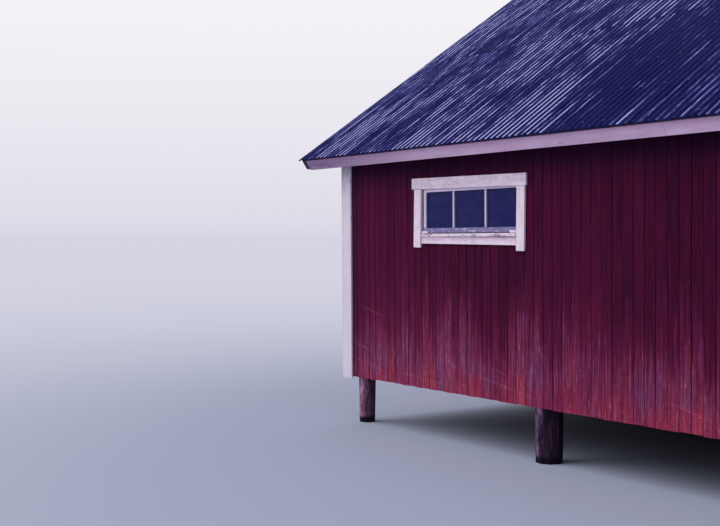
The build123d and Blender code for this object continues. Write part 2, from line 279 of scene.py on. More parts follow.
def welded(node):
    """A copy of a node's shape, with its loose triangles joined."""
    shape = bmesh.new()
    shape.from_mesh(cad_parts[node].data)
    bmesh.ops.remove_doubles(shape, verts=shape.verts, dist=0.01 * MM)
    return shape


def loose_parts(node):
    """The low and high corners of each separate solid of a node, from left to right."""
    shape = welded(node)
    unseen = set(shape.verts)
    corners = []
    while unseen:
        group = [unseen.pop()]
        for vertex in group:
            for edge in vertex.link_edges:
                other = edge.other_vert(vertex)
                if other in unseen:
                    unseen.remove(other)
                    group.append(other)
        corners.append([Vector([pick(vertex.co[axis] for vertex in group) for axis in range(3)])
                        for pick in (min, max)])
    shape.free()
    return sorted(corners, key=lambda pair: (round(pair[0].x, 3), round(pair[0].y, 3), pair[0].z))


def pile_wood():
    wood = Finish("pile_wood", roughness=0.85, gloss=0.05)
    grain = wood.cloud((38.0, 38.0, 2.2), 5.0)
    blotch = wood.cloud((6.0, 6.0, 3.0))
    torn = wood.cloud((34.0, 34.0, 13.0), 5.0, 0.7)
    peeled = wood.coats(wood.ramp(grain, 0.34, 0.64, (0.090, 0.030, 0.070), (0.66, 0.33, 0.53)),
                        (blotch, 0.45, 0.70, 0.60, (0.090, 0.045, 0.085)),
                        (torn, 0.52, 0.62, 0.75, (0.050, 0.016, 0.046)),
                        (torn, 0.42, 0.34, 0.50, (0.500, 0.360, 0.500)))
    bark = wood.ramp(torn, 0.38, 0.62, (0.014, 0.008, 0.024), (0.145, 0.090, 0.195))
    # Painted shade: each pile is darker on its side away from the lake, by its lee value.
    lee_shade = wood.swayed(wood.own("lee"), grain, 0.7)
    dry = wood.coats(wood.blend(wood.own("bark"), peeled, bark),
                     (lee_shade, 0.22, 0.80, 0.93, (0.010, 0.006, 0.014)))
    wet = wood.between(wood.add(wood.parts(wood.place)["Z"], wood.times(blotch, 0.05)), 0.105, 0.065)
    wood.colour(wood.blend(wet, dry, (0.010, 0.006, 0.012)))
    wood.plug(wood.shader.inputs["Roughness"], wood.between(wet, 0.0, 1.0, 0.85, 0.35))
    wood.relief(wood.maths("SUBTRACT", grain, torn), 0.005, 0.9)
    return wood


pile_finish = pile_wood()
pile_sides = 56
pile_rings = 34
pile_check_depth = 12 * MM
pile_wander = 4.5 * MM
pile_bow = 3 * MM
pile_flare = 5 * MM
stout_radius = 100 * MM
bark_height = 7 * MM


def pile_shape(shape, centre, radius, top, seed):
    """One trunk, in rings from its foot up, with its surface moved in and out."""
    shift = Vector((seed * 7.3, seed * 3.1, seed * 1.7))
    stout = radius > stout_radius
    bark_layer = shape.verts.layers.float["bark"]
    lee_layer = shape.verts.layers.float["lee"]
    rings = []
    for step in range(pile_rings + 1):
        height = top * step / pile_rings
        bow = pile_bow * Vector((noise.noise(Vector((height * 2.1, 0.0, 0.0)) + shift),
                                 noise.noise(Vector((height * 2.1, 5.0, 0.0)) + shift), 0.0))
        base = radius - (bark_height if stout else 0.0) + pile_flare * (height / top - 0.5)
        rings.append([])
        for side in range(pile_sides):
            turn = math.tau * side / pile_sides
            out = Vector((math.cos(turn), math.sin(turn), 0.0))
            lump = noise.noise(out * 1.3 + Vector((0, 0, height * 1.6)) + shift)
            check = noise.noise(out * 9.0 + Vector((0, 0, height * 0.8)) + shift)
            flake = noise.noise(Vector((out.x * 2.6, out.y * 2.6, height * 2.4)) + shift)
            bark = min(1.0, max(0.0, (flake + 0.05) * 14)) if stout else 0.0
            inset = pile_wander * lump + pile_check_depth * max(0.0, check - 0.28)
            distance = base - inset + bark * bark_height
            vertex = shape.verts.new(centre + bow + out * distance + Vector((0, 0, height)))
            vertex[bark_layer] = bark
            # lee: how much painted shade this side of the pile takes, most on the side away from the lake.
            vertex[lee_layer] = out.x + (0.52 - 0.27 * height / top if stout else -0.32)
            rings[-1].append(vertex)
    skin(shape, rings)


for pile_node, pile_seed in (("front_piles", 11), ("middle_piles", 12), ("back_piles", 10)):
    pile_row = bmesh.new()
    for pile_layer in ("bark", "lee"):
        pile_row.verts.layers.float.new(pile_layer)
    for number, (low, high) in enumerate(loose_parts(pile_node)):
        pile_centre = Vector(((low.x + high.x) / 2, (low.y + high.y) / 2, 0.0))
        pile_shape(pile_row, pile_centre, (high.x - low.x) / 2, high.z, pile_seed + 3 * number)
    pile_mesh = as_mesh(pile_row, pile_node)
    for face in pile_mesh.polygons:
        face.use_smooth = len(face.vertices) == 4
    finished("trunks_" + pile_node, pile_mesh, pile_finish, "pile_wood", pile_node)


# Frame timber: the girders, joists, studs, rafters and ties, all rough-sawn softwood that
# was never painted. Straight timbers are made again with eased edges and a slight bow.
def frame_timber():
    wood = Finish("frame_timber", roughness=0.9)
    fibre = wood.fibres((60.0, 60.0, 2.0))
    outside = wood.size(wood.parts(wood.place)["X"])
    wood.colour(wood.coats(wood.ramp(fibre, 0.3, 0.7, (0.070, 0.045, 0.042), (0.21, 0.15, 0.135)),
                           (wood.cloud(2.3), 0.4, 0.75, 0.55, (0.055, 0.040, 0.048)),
                           (outside, 4.340, 4.348, 0.85, (0.022, 0.015, 0.026))))
    wood.relief(fibre, 0.002, 0.7)
    return wood


timber_finish = frame_timber()
plain_step = 0.3
ragged_step = 0.02


def add_board(shape, low, high, edge=2 * MM, wander=1 * MM, place=None, age=0.0, ragged=0.0):
    """A board between two corners, with eased edges and ends and a slight bow along it. A ragged
    board is worn in and out along its edges. Each vertex keeps its place in the board as fibre,
    across and along, the board's own tint, and its age."""
    size = high - low
    middle = (low + high) / 2
    along = max(range(3), key=lambda axis: size[axis])
    first, second = (along + 1) % 3, (along + 2) % 3
    half_first, half_second, length = size[first] / 2, size[second] / 2, size[along]
    edge = min(edge, 0.4 * half_first, 0.4 * half_second)
    steps = max(1, round(length / (ragged_step if ragged else plain_step)))
    stations = [0.0, edge] + [length * step / steps for step in range(1, steps)] + [length - edge, length]
    layers = shape.verts.layers
    fibre = layers.float_vector.get("fibre") or layers.float_vector.new("fibre")
    tint = layers.float.get("tint") or layers.float.new("tint")
    wear = layers.float.get("age") or layers.float.new("age")
    chance = noise.cell(middle * 31.7 + size)
    rings = []
    for station in stations:
        pull = edge if station in (0.0, length) else 0.0
        right, up = half_first - pull, half_second - pull
        outline = ((right, edge - up), (right, up - edge), (right - edge, up), (edge - right, up),
                   (-right, up - edge), (-right, edge - up), (edge - right, -up), (right - edge, -up))
        sway = [wander * noise.noise(middle * 3.7 + Vector((station * 0.9, shift, 0.0))) for shift in (0, 9)]
        rings.append([])
        for number, (across, upward) in enumerate(outline):
            worn = 0.5 + noise.noise(Vector((station * 23.0, number * 1.3, middle.x)))
            bite = 1.0 - ragged * max(0.0, worn)
            across, upward = across * bite, upward * bite
            spot = middle.copy()
            spot[along] += station - length / 2
            spot[first] += across + sway[0] * (1.0 if half_first < half_second else 0.4)
            spot[second] += upward + sway[1] * (1.0 if half_second < half_first else 0.4)
            corner = shape.verts.new(place @ spot if place else spot)
            corner[fibre] = (across, upward, station + 37.0 * chance)
            corner[tint] = abs(chance)
            corner[wear] = age
            rings[-1].append(corner)
    skin(shape, rings)


def board_piece(name, corners, finish, slot, node, edge=2 * MM, wander=1 * MM, place=None):
    """One piece of boards between pairs of corners, in place of the node."""
    shape = bmesh.new()
    for low, high in corners:
        add_board(shape, Vector(low), Vector(high), edge, wander, place)
    finished(name, as_mesh(shape, name), finish, slot, node)


def sawn_copy(node, finish, slot, edge=0.0):
    """A node's own shape with eased edges. The fibres of each face run along its longest edge."""
    shape = welded(node)
    bmesh.ops.dissolve_limit(shape, angle_limit=math.radians(1.0), verts=shape.verts, edges=shape.edges)
    if edge:
        bmesh.ops.bevel(shape, geom=[item for item in shape.edges if item.calc_face_angle(0.0) > 0.3],
                        offset=edge, segments=1, affect="EDGES", clamp_overlap=True)
    fibre = shape.loops.layers.float_vector.new("fibre")
    for face in shape.faces:
        longest = max(face.edges, key=lambda item: item.calc_length())
        along = (longest.verts[1].co - longest.verts[0].co).normalized()
        across = face.normal.cross(along)
        chance = 11.0 * noise.cell(face.calc_center_median() * 2.1)
        for loop in face.loops:
            spot = loop.vert.co
            loop[fibre] = (spot.dot(across), spot.dot(face.normal), spot.dot(along) + chance)
    finished("sawn_" + node, as_mesh(shape, node), finish, slot, node)


for timber_node in ("pile_girders", "floor_joists", "ridge_board", "tie_beams"):
    board_piece("sawn_" + timber_node, loose_parts(timber_node), timber_finish, "frame_timber", timber_node,
                edge=4 * MM, wander=2 * MM)
for timber_node in ("front_wall_frame", "back_wall_frame", "lake_gable_frame", "land_gable_frame", "rafters"):
    sawn_copy(timber_node, timber_finish, "frame_timber")


# Wall boards: upright softwood boards, each with a rebated edge behind the next, nailed to
# the stud frames. Red paint, with painted shade under the eaves and beside the corner boards,
# and worn pink and grey near the water.
class Recipe(NodeWork):
    """A geometry node tree with named inputs, whose result is taken as a plain mesh."""

    def __init__(self, name, **kinds):
        super().__init__(bpy.data.node_groups.new(name, "GeometryNodeTree"))
        sockets = self.tree.interface
        for way in ("INPUT", "OUTPUT"):
            sockets.new_socket("Geometry", in_out=way, socket_type="NodeSocketGeometry")
        self.identifiers = {}
        for label, kind in kinds.items():
            self.identifiers[label] = sockets.new_socket(label.replace("_", " "), in_out="INPUT",
                                                         socket_type="NodeSocket" + kind).identifier
        self.given = self.tree.nodes.new("NodeGroupInput").outputs
        self.outlet = self.tree.nodes.new("NodeGroupOutput")

    def carried(self, name, kind="FLOAT"):
        """A value that each point brings with it."""
        return self.node("GeometryNodeInputNamedAttribute", {"data_type": kind}, Name=name).outputs[0]

    def chance(self, low, high, offset):
        made = self.node("FunctionNodeRandomValue", {"data_type": "FLOAT"},
                         Seed=self.maths("ADD", self.given["Seed"], float(offset)))
        self.plug(made.inputs[2], low)
        self.plug(made.inputs[3], high)
        return made.outputs[1]

    def triple(self, x, y, z):
        return self.node("ShaderNodeCombineXYZ", None, x, y, z).outputs["Vector"]

    def spot(self):
        return self.node("GeometryNodeInputPosition").outputs["Position"]

    def moved(self, geometry, **places):
        return self.node("GeometryNodeSetPosition", None, Geometry=geometry, **places).outputs["Geometry"]

    def repeated(self, points, blank, **turns):
        """One blank on each point."""
        blank = self.node("GeometryNodeObjectInfo", None, Object=blank).outputs["Geometry"]
        return self.node("GeometryNodeInstanceOnPoints", None, Points=points, Instance=blank,
                         **turns).outputs["Instances"]

    def noted(self, geometry, name, value, domain="INSTANCE", kind="FLOAT"):
        made = self.node("GeometryNodeStoreNamedAttribute", {"data_type": kind, "domain": domain},
                         Geometry=geometry, Name=name)
        self.plug(next(socket for socket in made.inputs if socket.name == "Value" and socket.enabled), value)
        return made.outputs["Geometry"]

    def real(self, geometry):
        return self.node("GeometryNodeRealizeInstances", None, Geometry=geometry).outputs["Geometry"]

    def waved(self, geometry, scale, amount):
        """The geometry, bent in and out along Y by a soft wave."""
        wave = self.node("ShaderNodeTexNoise", None, Scale=1.0,
                         Vector=self.vector_maths("MULTIPLY", self.spot(), scale)).outputs["Fac"]
        shift = self.times(self.maths("SUBTRACT", wave, 0.5), amount)
        return self.moved(geometry, Offset=self.triple(0.0, shift, 0.0))

    def fibred(self, geometry, own, reach):
        """Each point's place noted as fibre, with a length of grain of each board's own."""
        shift = self.triple(0.0, 0.0, self.times(self.carried(own), reach))
        place = self.vector_maths("ADD", self.spot(), shift)
        return self.noted(geometry, "fibre", place, "POINT", "FLOAT_VECTOR")

    def close(self, geometry):
        coated = self.node("GeometryNodeSetMaterial", None, Geometry=geometry, Material=self.given["Finish"])
        self.plug(self.outlet.inputs["Geometry"], coated.outputs["Geometry"])

    def made_from(self, start, **values):
        """Runs the tree once on a start mesh and gives the result as a plain mesh."""
        worker = in_scene(self.tree.name, start)
        modifier = worker.modifiers.new(self.tree.name, "NODES")
        modifier.node_group = self.tree
        for label, value in values.items():
            modifier[self.identifiers[label]] = value
        bpy.context.view_layer.update()
        graph = bpy.context.evaluated_depsgraph_get()
        mesh = bpy.data.meshes.new_from_object(worker.evaluated_get(graph), preserve_all_data_layers=True,
                                               depsgraph=graph)
        bpy.data.objects.remove(worker)
        return mesh


def board_blank(name, seam, easing, lap, cuts):
    """An upright board of unit size: face at y = 0, back at y = 1, with a lap behind the next."""
    half = 0.5
    outline = ((half - seam, 0.10), (half - seam - easing, 0.0), (seam + easing - half, 0.0),
               (seam - half, 0.10), (seam - half, 0.58), (-half - lap, 0.60), (-half - lap, 1.0),
               (half + lap, 1.0), (half + lap, 0.60), (half - seam, 0.58))
    shape = bmesh.new()
    skin(shape, [[shape.verts.new((x, y, step / cuts)) for x, y in outline] for step in range(cuts + 1)])
    bmesh.ops.recalc_face_normals(shape, faces=shape.faces)
    return bpy.data.objects.new(name, as_mesh(shape, name))


def board_row():
    """A board on each point, a little out of line with the next, cut off under a gable's slopes."""
    row = Recipe("board_row", Blank="Object", Thickness="Float", Uneven_Ends="Float", Proud="Float",
                 Bow="Float", Loose_Seams="Float", Apex_Height="Float", Slope="Float", Seed="Int",
                 Finish="Material")
    given = row.given
    drop = row.chance(0.0, given["Uneven Ends"], 1)
    push = row.chance(given["Proud"], 0.0, 2)
    slip = row.times(given["Loose Seams"], row.chance(-1.0, 1.0, 7))
    starts = row.moved(given["Geometry"], Offset=row.triple(slip, push, drop))
    turn = row.triple(0.0, row.chance(-0.0007, 0.0007, 3), row.chance(-0.012, 0.012, 4))
    run = row.maths("SUBTRACT", row.carried("run"), drop)
    boards = row.repeated(starts, given["Blank"], Rotation=turn,
                          Scale=row.triple(row.carried("cover"), given["Thickness"], run))
    boards = row.noted(boards, "tint", row.chance(0.0, 1.0, 5))
    boards = row.real(row.noted(boards, "age", row.chance(0.0, 1.0, 6)))
    boards = row.fibred(row.waved(boards, (9.0, 0.0, 0.9), given["Bow"]), "tint", 37.0)
    x, y, z = row.parts(row.spot())
    limit = row.maths("SUBTRACT", given["Apex Height"], row.times(given["Slope"], row.size(x)))
    row.close(row.moved(boards, Position=row.triple(x, y, row.maths("MINIMUM", z, limit))))
    return row


wall_blank = board_blank("wall_board_blank", seam=0.020, easing=0.024, lap=0.022, cuts=8)
board_recipe = board_row()
least_run = 0.01
least_strip = 2 * MM


def start_points(name, lengths):
    """A point at the foot of each length, which carries its cover width and its run. A length has
    the place of its left and right edges, its foot and its top."""
    mesh = bpy.data.meshes.new(name)
    mesh.from_pydata([((left + right) / 2, 0.0, foot) for left, right, foot, top in lengths], [], [])
    for label, values in (("cover", [right - left for left, right, foot, top in lengths]),
                          ("run", [top - foot for left, right, foot, top in lengths])):
        mesh.attributes.new(label, "FLOAT", "POINT").data.foreach_set("value", values)
    return mesh


def board_starts(name, left, right, cover, foot, top, openings=()):
    """A board that meets an opening stops at it, and a strip beside the opening closes the wall."""
    count = max(1, round((right - left) / cover))
    cover = (right - left) / count
    lengths = []
    for number in range(count):
        start, end = left + number * cover, left + (number + 1) * cover
        pieces = [(foot, top(start, end))]
        for x_low, x_high, z_low, z_high in openings:
            if end <= x_low or start >= x_high:
                continue
            cut = [part for low, high in pieces
                   for part in ((low, min(high, z_low)), (max(low, z_high), high))]
            pieces = [(low, high) for low, high in cut if high - low > least_run]
            lengths += [(strip_low, strip_high, z_low, min(z_high, top(start, end)))
                        for strip_low, strip_high in ((start, x_low), (x_high, end))
                        if strip_high - strip_low > least_strip]
        lengths += [(start, end, low, high) for low, high in pieces]
    return start_points(name, lengths)


half_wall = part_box("front_cladding")[1][0]
front_face = -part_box("front_cladding")[0][1]
gable_face = -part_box("lake_gable_cladding")[0][0]
gable_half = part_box("lake_gable_cladding")[1][1]
wall_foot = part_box("front_cladding")[0][2]
wall_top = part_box("front_cladding")[1][2]
wall_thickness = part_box("front_cladding")[1][1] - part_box("front_cladding")[0][1]
floor_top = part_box("floor_deck")[1][2]
roof_slope = 2.0 / 3.0
ridge_low, ridge_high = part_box("ridge_board")
gable_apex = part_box("lake_gable_cladding")[1][2] + roof_slope * ridge_high[1]
rafter_height = 0.105
board_cover = 0.113
door_clearance = 5 * MM
scuff_reach = 0.15
# Scuffs on the front wall: each is a faint bow, with its height given by the square of X, by X
# and by a level, and runs between two places along the wall.
wall_scuffs = (
    (-0.181, -1.659, -2.916, -4.20, -3.74), (-0.014, -0.300, -0.307, -4.20, -3.55),
    (-0.057, -0.409, -0.123, -3.40, -2.50), (0.0, -0.210, 0.402, -4.10, -3.60),
    (-0.031, -0.273, 0.243, -2.15, -1.35), (0.0, -0.246, 0.721, 0.05, 0.50),
    (0.0, -0.197, 0.262, -2.75, -2.40), (0.0, -0.272, 0.250, -2.00, -1.65))


def wall_paint():
    red = Finish("wall_paint", roughness=0.85, gloss=0.05)
    along, inward, height = red.parts(red.place)
    tint, age = red.own("tint"), red.own("age")
    fine = red.fibres((190.0, 190.0, 4.0), 4.0, 0.65)
    line = red.fibres((75.0, 75.0, 1.7), 4.0, 0.6)
    band = red.fibres((24.0, 24.0, 1.1), 4.0, 0.6)
    chalk = red.fibres((36.0, 36.0, 9.0), 5.0, 0.65)
    fleck = red.fibres((85.0, 85.0, 34.0), 4.0, 0.7)
    flake = red.fibres((48.0, 48.0, 7.0), 5.0, 0.72)
    hue = red.fibres((44.0, 44.0, 1.4), 3.0, 0.6)
    cloud = red.cloud((1.5, 1.5, 1.1))
    deep = red.coats(red.blend(tint, (0.047, 0.0028, 0.0200), (0.076, 0.0048, 0.0335)),
                     (band, 0.48, 0.68, 0.80, (0.027, 0.0030, 0.0225)),
                     (line, 0.53, 0.68, 0.75, (0.112, 0.0080, 0.0450)),
                     (along, -2.6, -4.2, 0.35, (0.120, 0.0085, 0.0560)),
                     (fine, 0.50, 0.64, 0.45, (0.020, 0.0022, 0.0130)),
                     (flake, 0.66, 0.69, 0.70, (0.110, 0.0500, 0.1000)))
    warm = red.blend(tint, (0.400, 0.040, 0.078), (0.290, 0.034, 0.100))
    cool = red.blend(chalk, (0.100, 0.022, 0.095), (0.330, 0.105, 0.260))
    lilac = red.add(cloud, red.times(band, 0.8), red.between(height, 0.52, 0.78, -0.16, 0.04),
                    red.between(tint, 0.0, 1.0, -0.10, 0.10))
    worn = red.coats(red.ramp(lilac, 0.82, 1.04, warm, cool),
                     (fine, 0.47, 0.60, 0.90, (0.082, 0.010, 0.040)),
                     (line, 0.56, 0.66, 0.55, (0.420, 0.130, 0.250)),
                     (chalk, 0.58, 0.70, 0.60, (0.470, 0.180, 0.330)),
                     (fleck, 0.60, 0.70, 0.70, (0.560, 0.270, 0.430)),
                     (fleck, 0.40, 0.32, 0.60, (0.060, 0.008, 0.030)))
    rise = red.add(height, red.times(age, -0.28), red.times(band, -0.95), red.times(line, -0.75),
                   red.times(chalk, -0.6), red.times(cloud, -0.8),
                   red.between(along, -3.4, -0.2, -0.03, 0.17))
    fade = red.maths("POWER", red.between(rise, 0.0, -1.16), 1.6)
    wine = red.ramp(line, 0.35, 0.62, (0.086, 0.0058, 0.033), (0.165, 0.0185, 0.070))
    paint = red.coats(deep, (fade, 0.0, 0.45, 1.0, wine), (fade, 0.28, 1.0, 1.0, worn))
    shade = red.ramp(hue, 0.36, 0.64, (1.05, 0.96, 0.76), (0.93, 1.0, 1.16))
    paint = red.blend(1.0, paint, shade, "MULTIPLY")
    # Painted shade: the long walls' boards nearest the corner boards are darkened.
    corner_shade = red.times(red.between(red.size(along), 3.95, 4.20, 0.0, 0.6),
                     red.between(red.size(inward), 3.18, 3.19))
    # Painted shade under the eaves and the verges: the paint darkens near the roof, following the slope on
    # the gables.
    eave_shade_height = red.maths("MULTIPLY_ADD", red.size(inward), roof_slope, height)
    paint = red.coats(red.blend(corner_shade, paint, (0.022, 0.006, 0.030)),
                      (eave_shade_height, 4.51, 4.79, 0.66, (0.0146, 0.0050, 0.0235)))
    front = red.between(inward, -3.12, -3.14, 0.0, 0.26)
    for bow, slant, level, start, end in wall_scuffs:
        bowed = red.maths("MULTIPLY_ADD", red.maths("MULTIPLY_ADD", along, bow, slant), along, level)
        gap = red.size(red.maths("SUBTRACT", height, bowed))
        scuff = red.times(red.between(gap, 0.010, 0.002), front,
                          red.between(along, start, start + scuff_reach),
                          red.between(along, end, end - scuff_reach),
                          red.between(fleck, 0.35, 0.6, 0.3, 1.0))
        paint = red.blend(scuff, paint, (0.500, 0.150, 0.240))
    red.colour(paint)
    red.relief(red.maths("SUBTRACT", fine, red.between(flake, 0.66, 0.69, 0.0, 0.4)), 0.0022, 0.8)
    return red


red_finish = wall_paint()
window_holes = {-1: [], 1: []}
for low, high in loose_parts("window_linings"):
    window_holes[-1 if low.y < 0 else 1].append((low.x, high.x, low.z, high.z))
rafter_seat = wall_top - rafter_height / math.cos(math.atan(roof_slope))
rafter_notches = sorted({(round(low.x, 4), round(high.x, 4), rafter_seat, 2 * wall_top)
                         for low, high in loose_parts("rafters") if abs(low.x) < half_wall})
ridge_hole = (ridge_low[1], ridge_high[1], ridge_low[2], 2 * ridge_high[2])


def door_hole(*leaves):
    lows, highs = zip(*(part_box(leaf) for leaf in leaves))
    return (min(low[1] for low in lows) - door_clearance / 2,
            max(high[1] for high in highs) + door_clearance / 2,
            floor_top, max(high[2] for high in highs) + door_clearance)


def board_rows(starts, finish, thickness, seed, place, uneven=0.0, proud=0.0, bow=0.0, loose=0.0, apex=99.0,
               slope=0.0):
    """Rows of upright boards as a mesh, made as they face -Y and then moved to their place."""
    mesh = board_recipe.made_from(
        starts, Blank=wall_blank, Thickness=thickness, Uneven_Ends=uneven, Proud=proud, Bow=bow,
        Loose_Seams=loose, Apex_Height=apex, Slope=slope, Seed=seed, Finish=finish.material)
    mesh.transform(place)
    return mesh


def turned(holes, sign):
    """Openings along the wall, as it sees them when it is made facing -Y."""
    return [tuple(sorted((sign * start, sign * end))) + (low, high) for start, end, low, high in holes]


def eave_line(start, end):
    return wall_top


def gable_line(start, end):
    """The height that a gable board needs before its top is cut to the slope."""
    nearest = 0.0 if start < 0 < end else min(abs(start), abs(end))
    return gable_apex - roof_slope * nearest


# Each wall: its turn from facing -Y, its hand, the openings that nails keep clear of, the
# notches that only boards meet, and the seed of its boards.
long_walls = (("front", 0.0, 1, window_holes[-1], 11), ("back", math.pi, -1, window_holes[1], 23))
gables = (("lake_gable", -math.pi / 2, -1, [door_hole("boat_door_left", "boat_door_right"), ridge_hole], 37),
          ("land_gable", math.pi / 2, 1, [door_hole("land_door"), ridge_hole], 41))
walls = [(*wall, rafter_notches, front_face, half_wall, eave_line, {}) for wall in long_walls]
walls += [(*wall, [], gable_face, gable_half, gable_line, {"apex": gable_apex, "slope": roof_slope})
          for wall in gables]
for wall, turn, hand, holes, seed, notches, face, half, top, cut in walls:
    starts = board_starts(wall, -half, half, board_cover, wall_foot, top, turned(holes + notches, hand))
    place = Matrix.Rotation(turn, 4, "Z") @ Matrix.Translation((0.0, -face, 0.0))
    mesh = board_rows(starts, red_finish, wall_thickness, seed, place, uneven=7 * MM, proud=1.6 * MM,
                      bow=1.5 * MM, loose=1.7 * MM, **cut)
    finished(wall + "_boards", mesh, red_finish, "wall_boards", wall + "_cladding")


# White trim: corner boards, window and door casings, sills and linings. Planed softwood
# under a lilac-white paint that cracks along the grain and wears off at ends and edges.
def white_trim():
    trim = Finish("white_trim", roughness=0.62, gloss=0.2)
    fine = trim.fibres((130.0, 130.0, 5.0), 4.0, 0.6)
    soft = trim.fibres((14.0, 14.0, 4.5), 4.0, 0.6)
    spot = trim.fibres((75.0, 75.0, 32.0), 3.0, 0.6)
    wear = trim.fibres((42.0, 42.0, 7.0), 5.0, 0.65)
    mottle = trim.fibres((30.0, 30.0, 13.0), 4.0, 0.7)
    place, age = trim.parts(trim.place), trim.own("age")
    paint = trim.coats(trim.ramp(soft, 0.3, 0.7, (0.74, 0.60, 0.73), (0.90, 0.76, 0.87)),
                       (trim.size(place["X"]), 3.4, 4.1, 0.65, (0.63, 0.585, 0.70)),
                       # Painted shade: the trim darkens towards the eaves.
                       (place["Z"], 2.3, 2.9, 0.30, (0.36, 0.31, 0.44)))
    # Head casings: mottled grime, and darker overall as painted shade under the eaves.
    head = trim.times(trim.between(mottle, 0.44, 0.64), trim.between(place["Z"], 2.42, 2.45, 0.06, 0.50))
    # Bottom casings: their top, under the sill, is darkened by a stain and by painted shadow from the sill.
    sill_shade_and_stain_edge = trim.add(place["Z"], trim.times(mottle, 0.06))
    sill_shade_and_stain = trim.times(trim.between(trim.size(trim.maths("SUBTRACT", age, 0.5)), 0.1, 0.0),
                       trim.between(sill_shade_and_stain_edge, 1.955, 1.995), 0.60)
    paint = trim.coats(paint,
                       (head, 0.0, 1.0, 1.0, (0.47, 0.355, 0.52)),
                       (sill_shade_and_stain, 0.0, 1.0, 1.0, (0.40, 0.25, 0.41)),
                       # At age 1, the side linings are darkened as painted shade in the window reveals.
                       (age, 0.85, 1.0, 0.80, (0.17, 0.11, 0.23)),
                       (spot, 0.61, 0.72, 0.60, (0.24, 0.19, 0.28)))
    bare = trim.blend(fine, (0.085, 0.075, 0.115), (0.26, 0.225, 0.30))
    worn_edge = trim.add(wear, trim.times(trim.between(age, 0.6, 0.8), 0.10))
    worn = trim.between(worn_edge, 0.66, 0.72, 0.0, 0.85)
    trim.colour(trim.blend(worn, paint, bare))
    trim.relief(trim.maths("SUBTRACT", fine, worn), 0.0012, 0.5)
    return trim


trim_finish = white_trim()
for trim_node in ("long_side_corner_boards", "gable_side_corner_boards"):
    board_piece("planed_" + trim_node, loose_parts(trim_node), trim_finish, "white_trim", trim_node,
                edge=3 * MM)


# Windows: each opening is lined with four boards. Outside it has a wide head casing with
# short horns, two jambs that hang below the sill, and one sash with three panes in a row.
def sash_paint():
    sash = Finish("sash_paint", roughness=0.7)
    age = sash.own("age")
    wear = sash.fibres((55.0, 55.0, 11.0), 5.0, 0.65)
    fine = sash.fibres((120.0, 120.0, 4.0), 3.0)
    sound = sash.blend(fine, (0.52, 0.44, 0.64), (0.76, 0.66, 0.84))
    grey = sash.blend(fine, (0.15, 0.135, 0.30), (0.30, 0.26, 0.48))
    bare = sash.blend(fine, (0.060, 0.055, 0.130), (0.20, 0.18, 0.34))
    sash.colour(sash.coats(sash.blend(age, sound, grey),
                           (wear, 0.42, 0.36, 1.0, (0.72, 0.63, 0.82)),
                           # Negative age pales the paint as painted light, on the stiles and the top rail.
                           (age, 0.0, -1.0, 1.0, (0.96, 0.84, 0.97)),
                           (sash.add(wear, sash.times(age, 0.06)), 0.61, 0.69, 1.0, bare)))
    sash.relief(fine, 0.001, 0.5)
    return sash


def window_glass():
    glass = Finish("window_glass", roughness=0.05, gloss=0.14)
    dust = glass.cloud((7.0, 7.0, 16.0), 4.0)
    glass.colour(glass.coats((0.0055, 0.0085, 0.088), (dust, 0.45, 0.8, 0.5, (0.028, 0.024, 0.130))))
    glass.relief(glass.cloud(5.0, 1.0), 0.004, 0.12)
    return glass


casing_width = 0.122
casing_thickness = 0.022
head_casing_height = 0.108
head_casing_horn = 0.033
head_casing_drop = 7 * MM
bottom_casing_height = 0.070
jamb_hang = 0.148
lining_thickness = 0.020
lining_back = 3.083
sill_thickness = 0.035
sill_projection = 0.028
sash_setback = 0.012
sash_depth = 0.040
sash_member = 0.030
sash_stile = 0.024
sash_bottom_rail = 0.052
muntin_width = 0.021
muntin_shares = (-0.17, 0.17)
stop_length = 0.085
stop_size = 0.022
pane_gap = 3 * MM


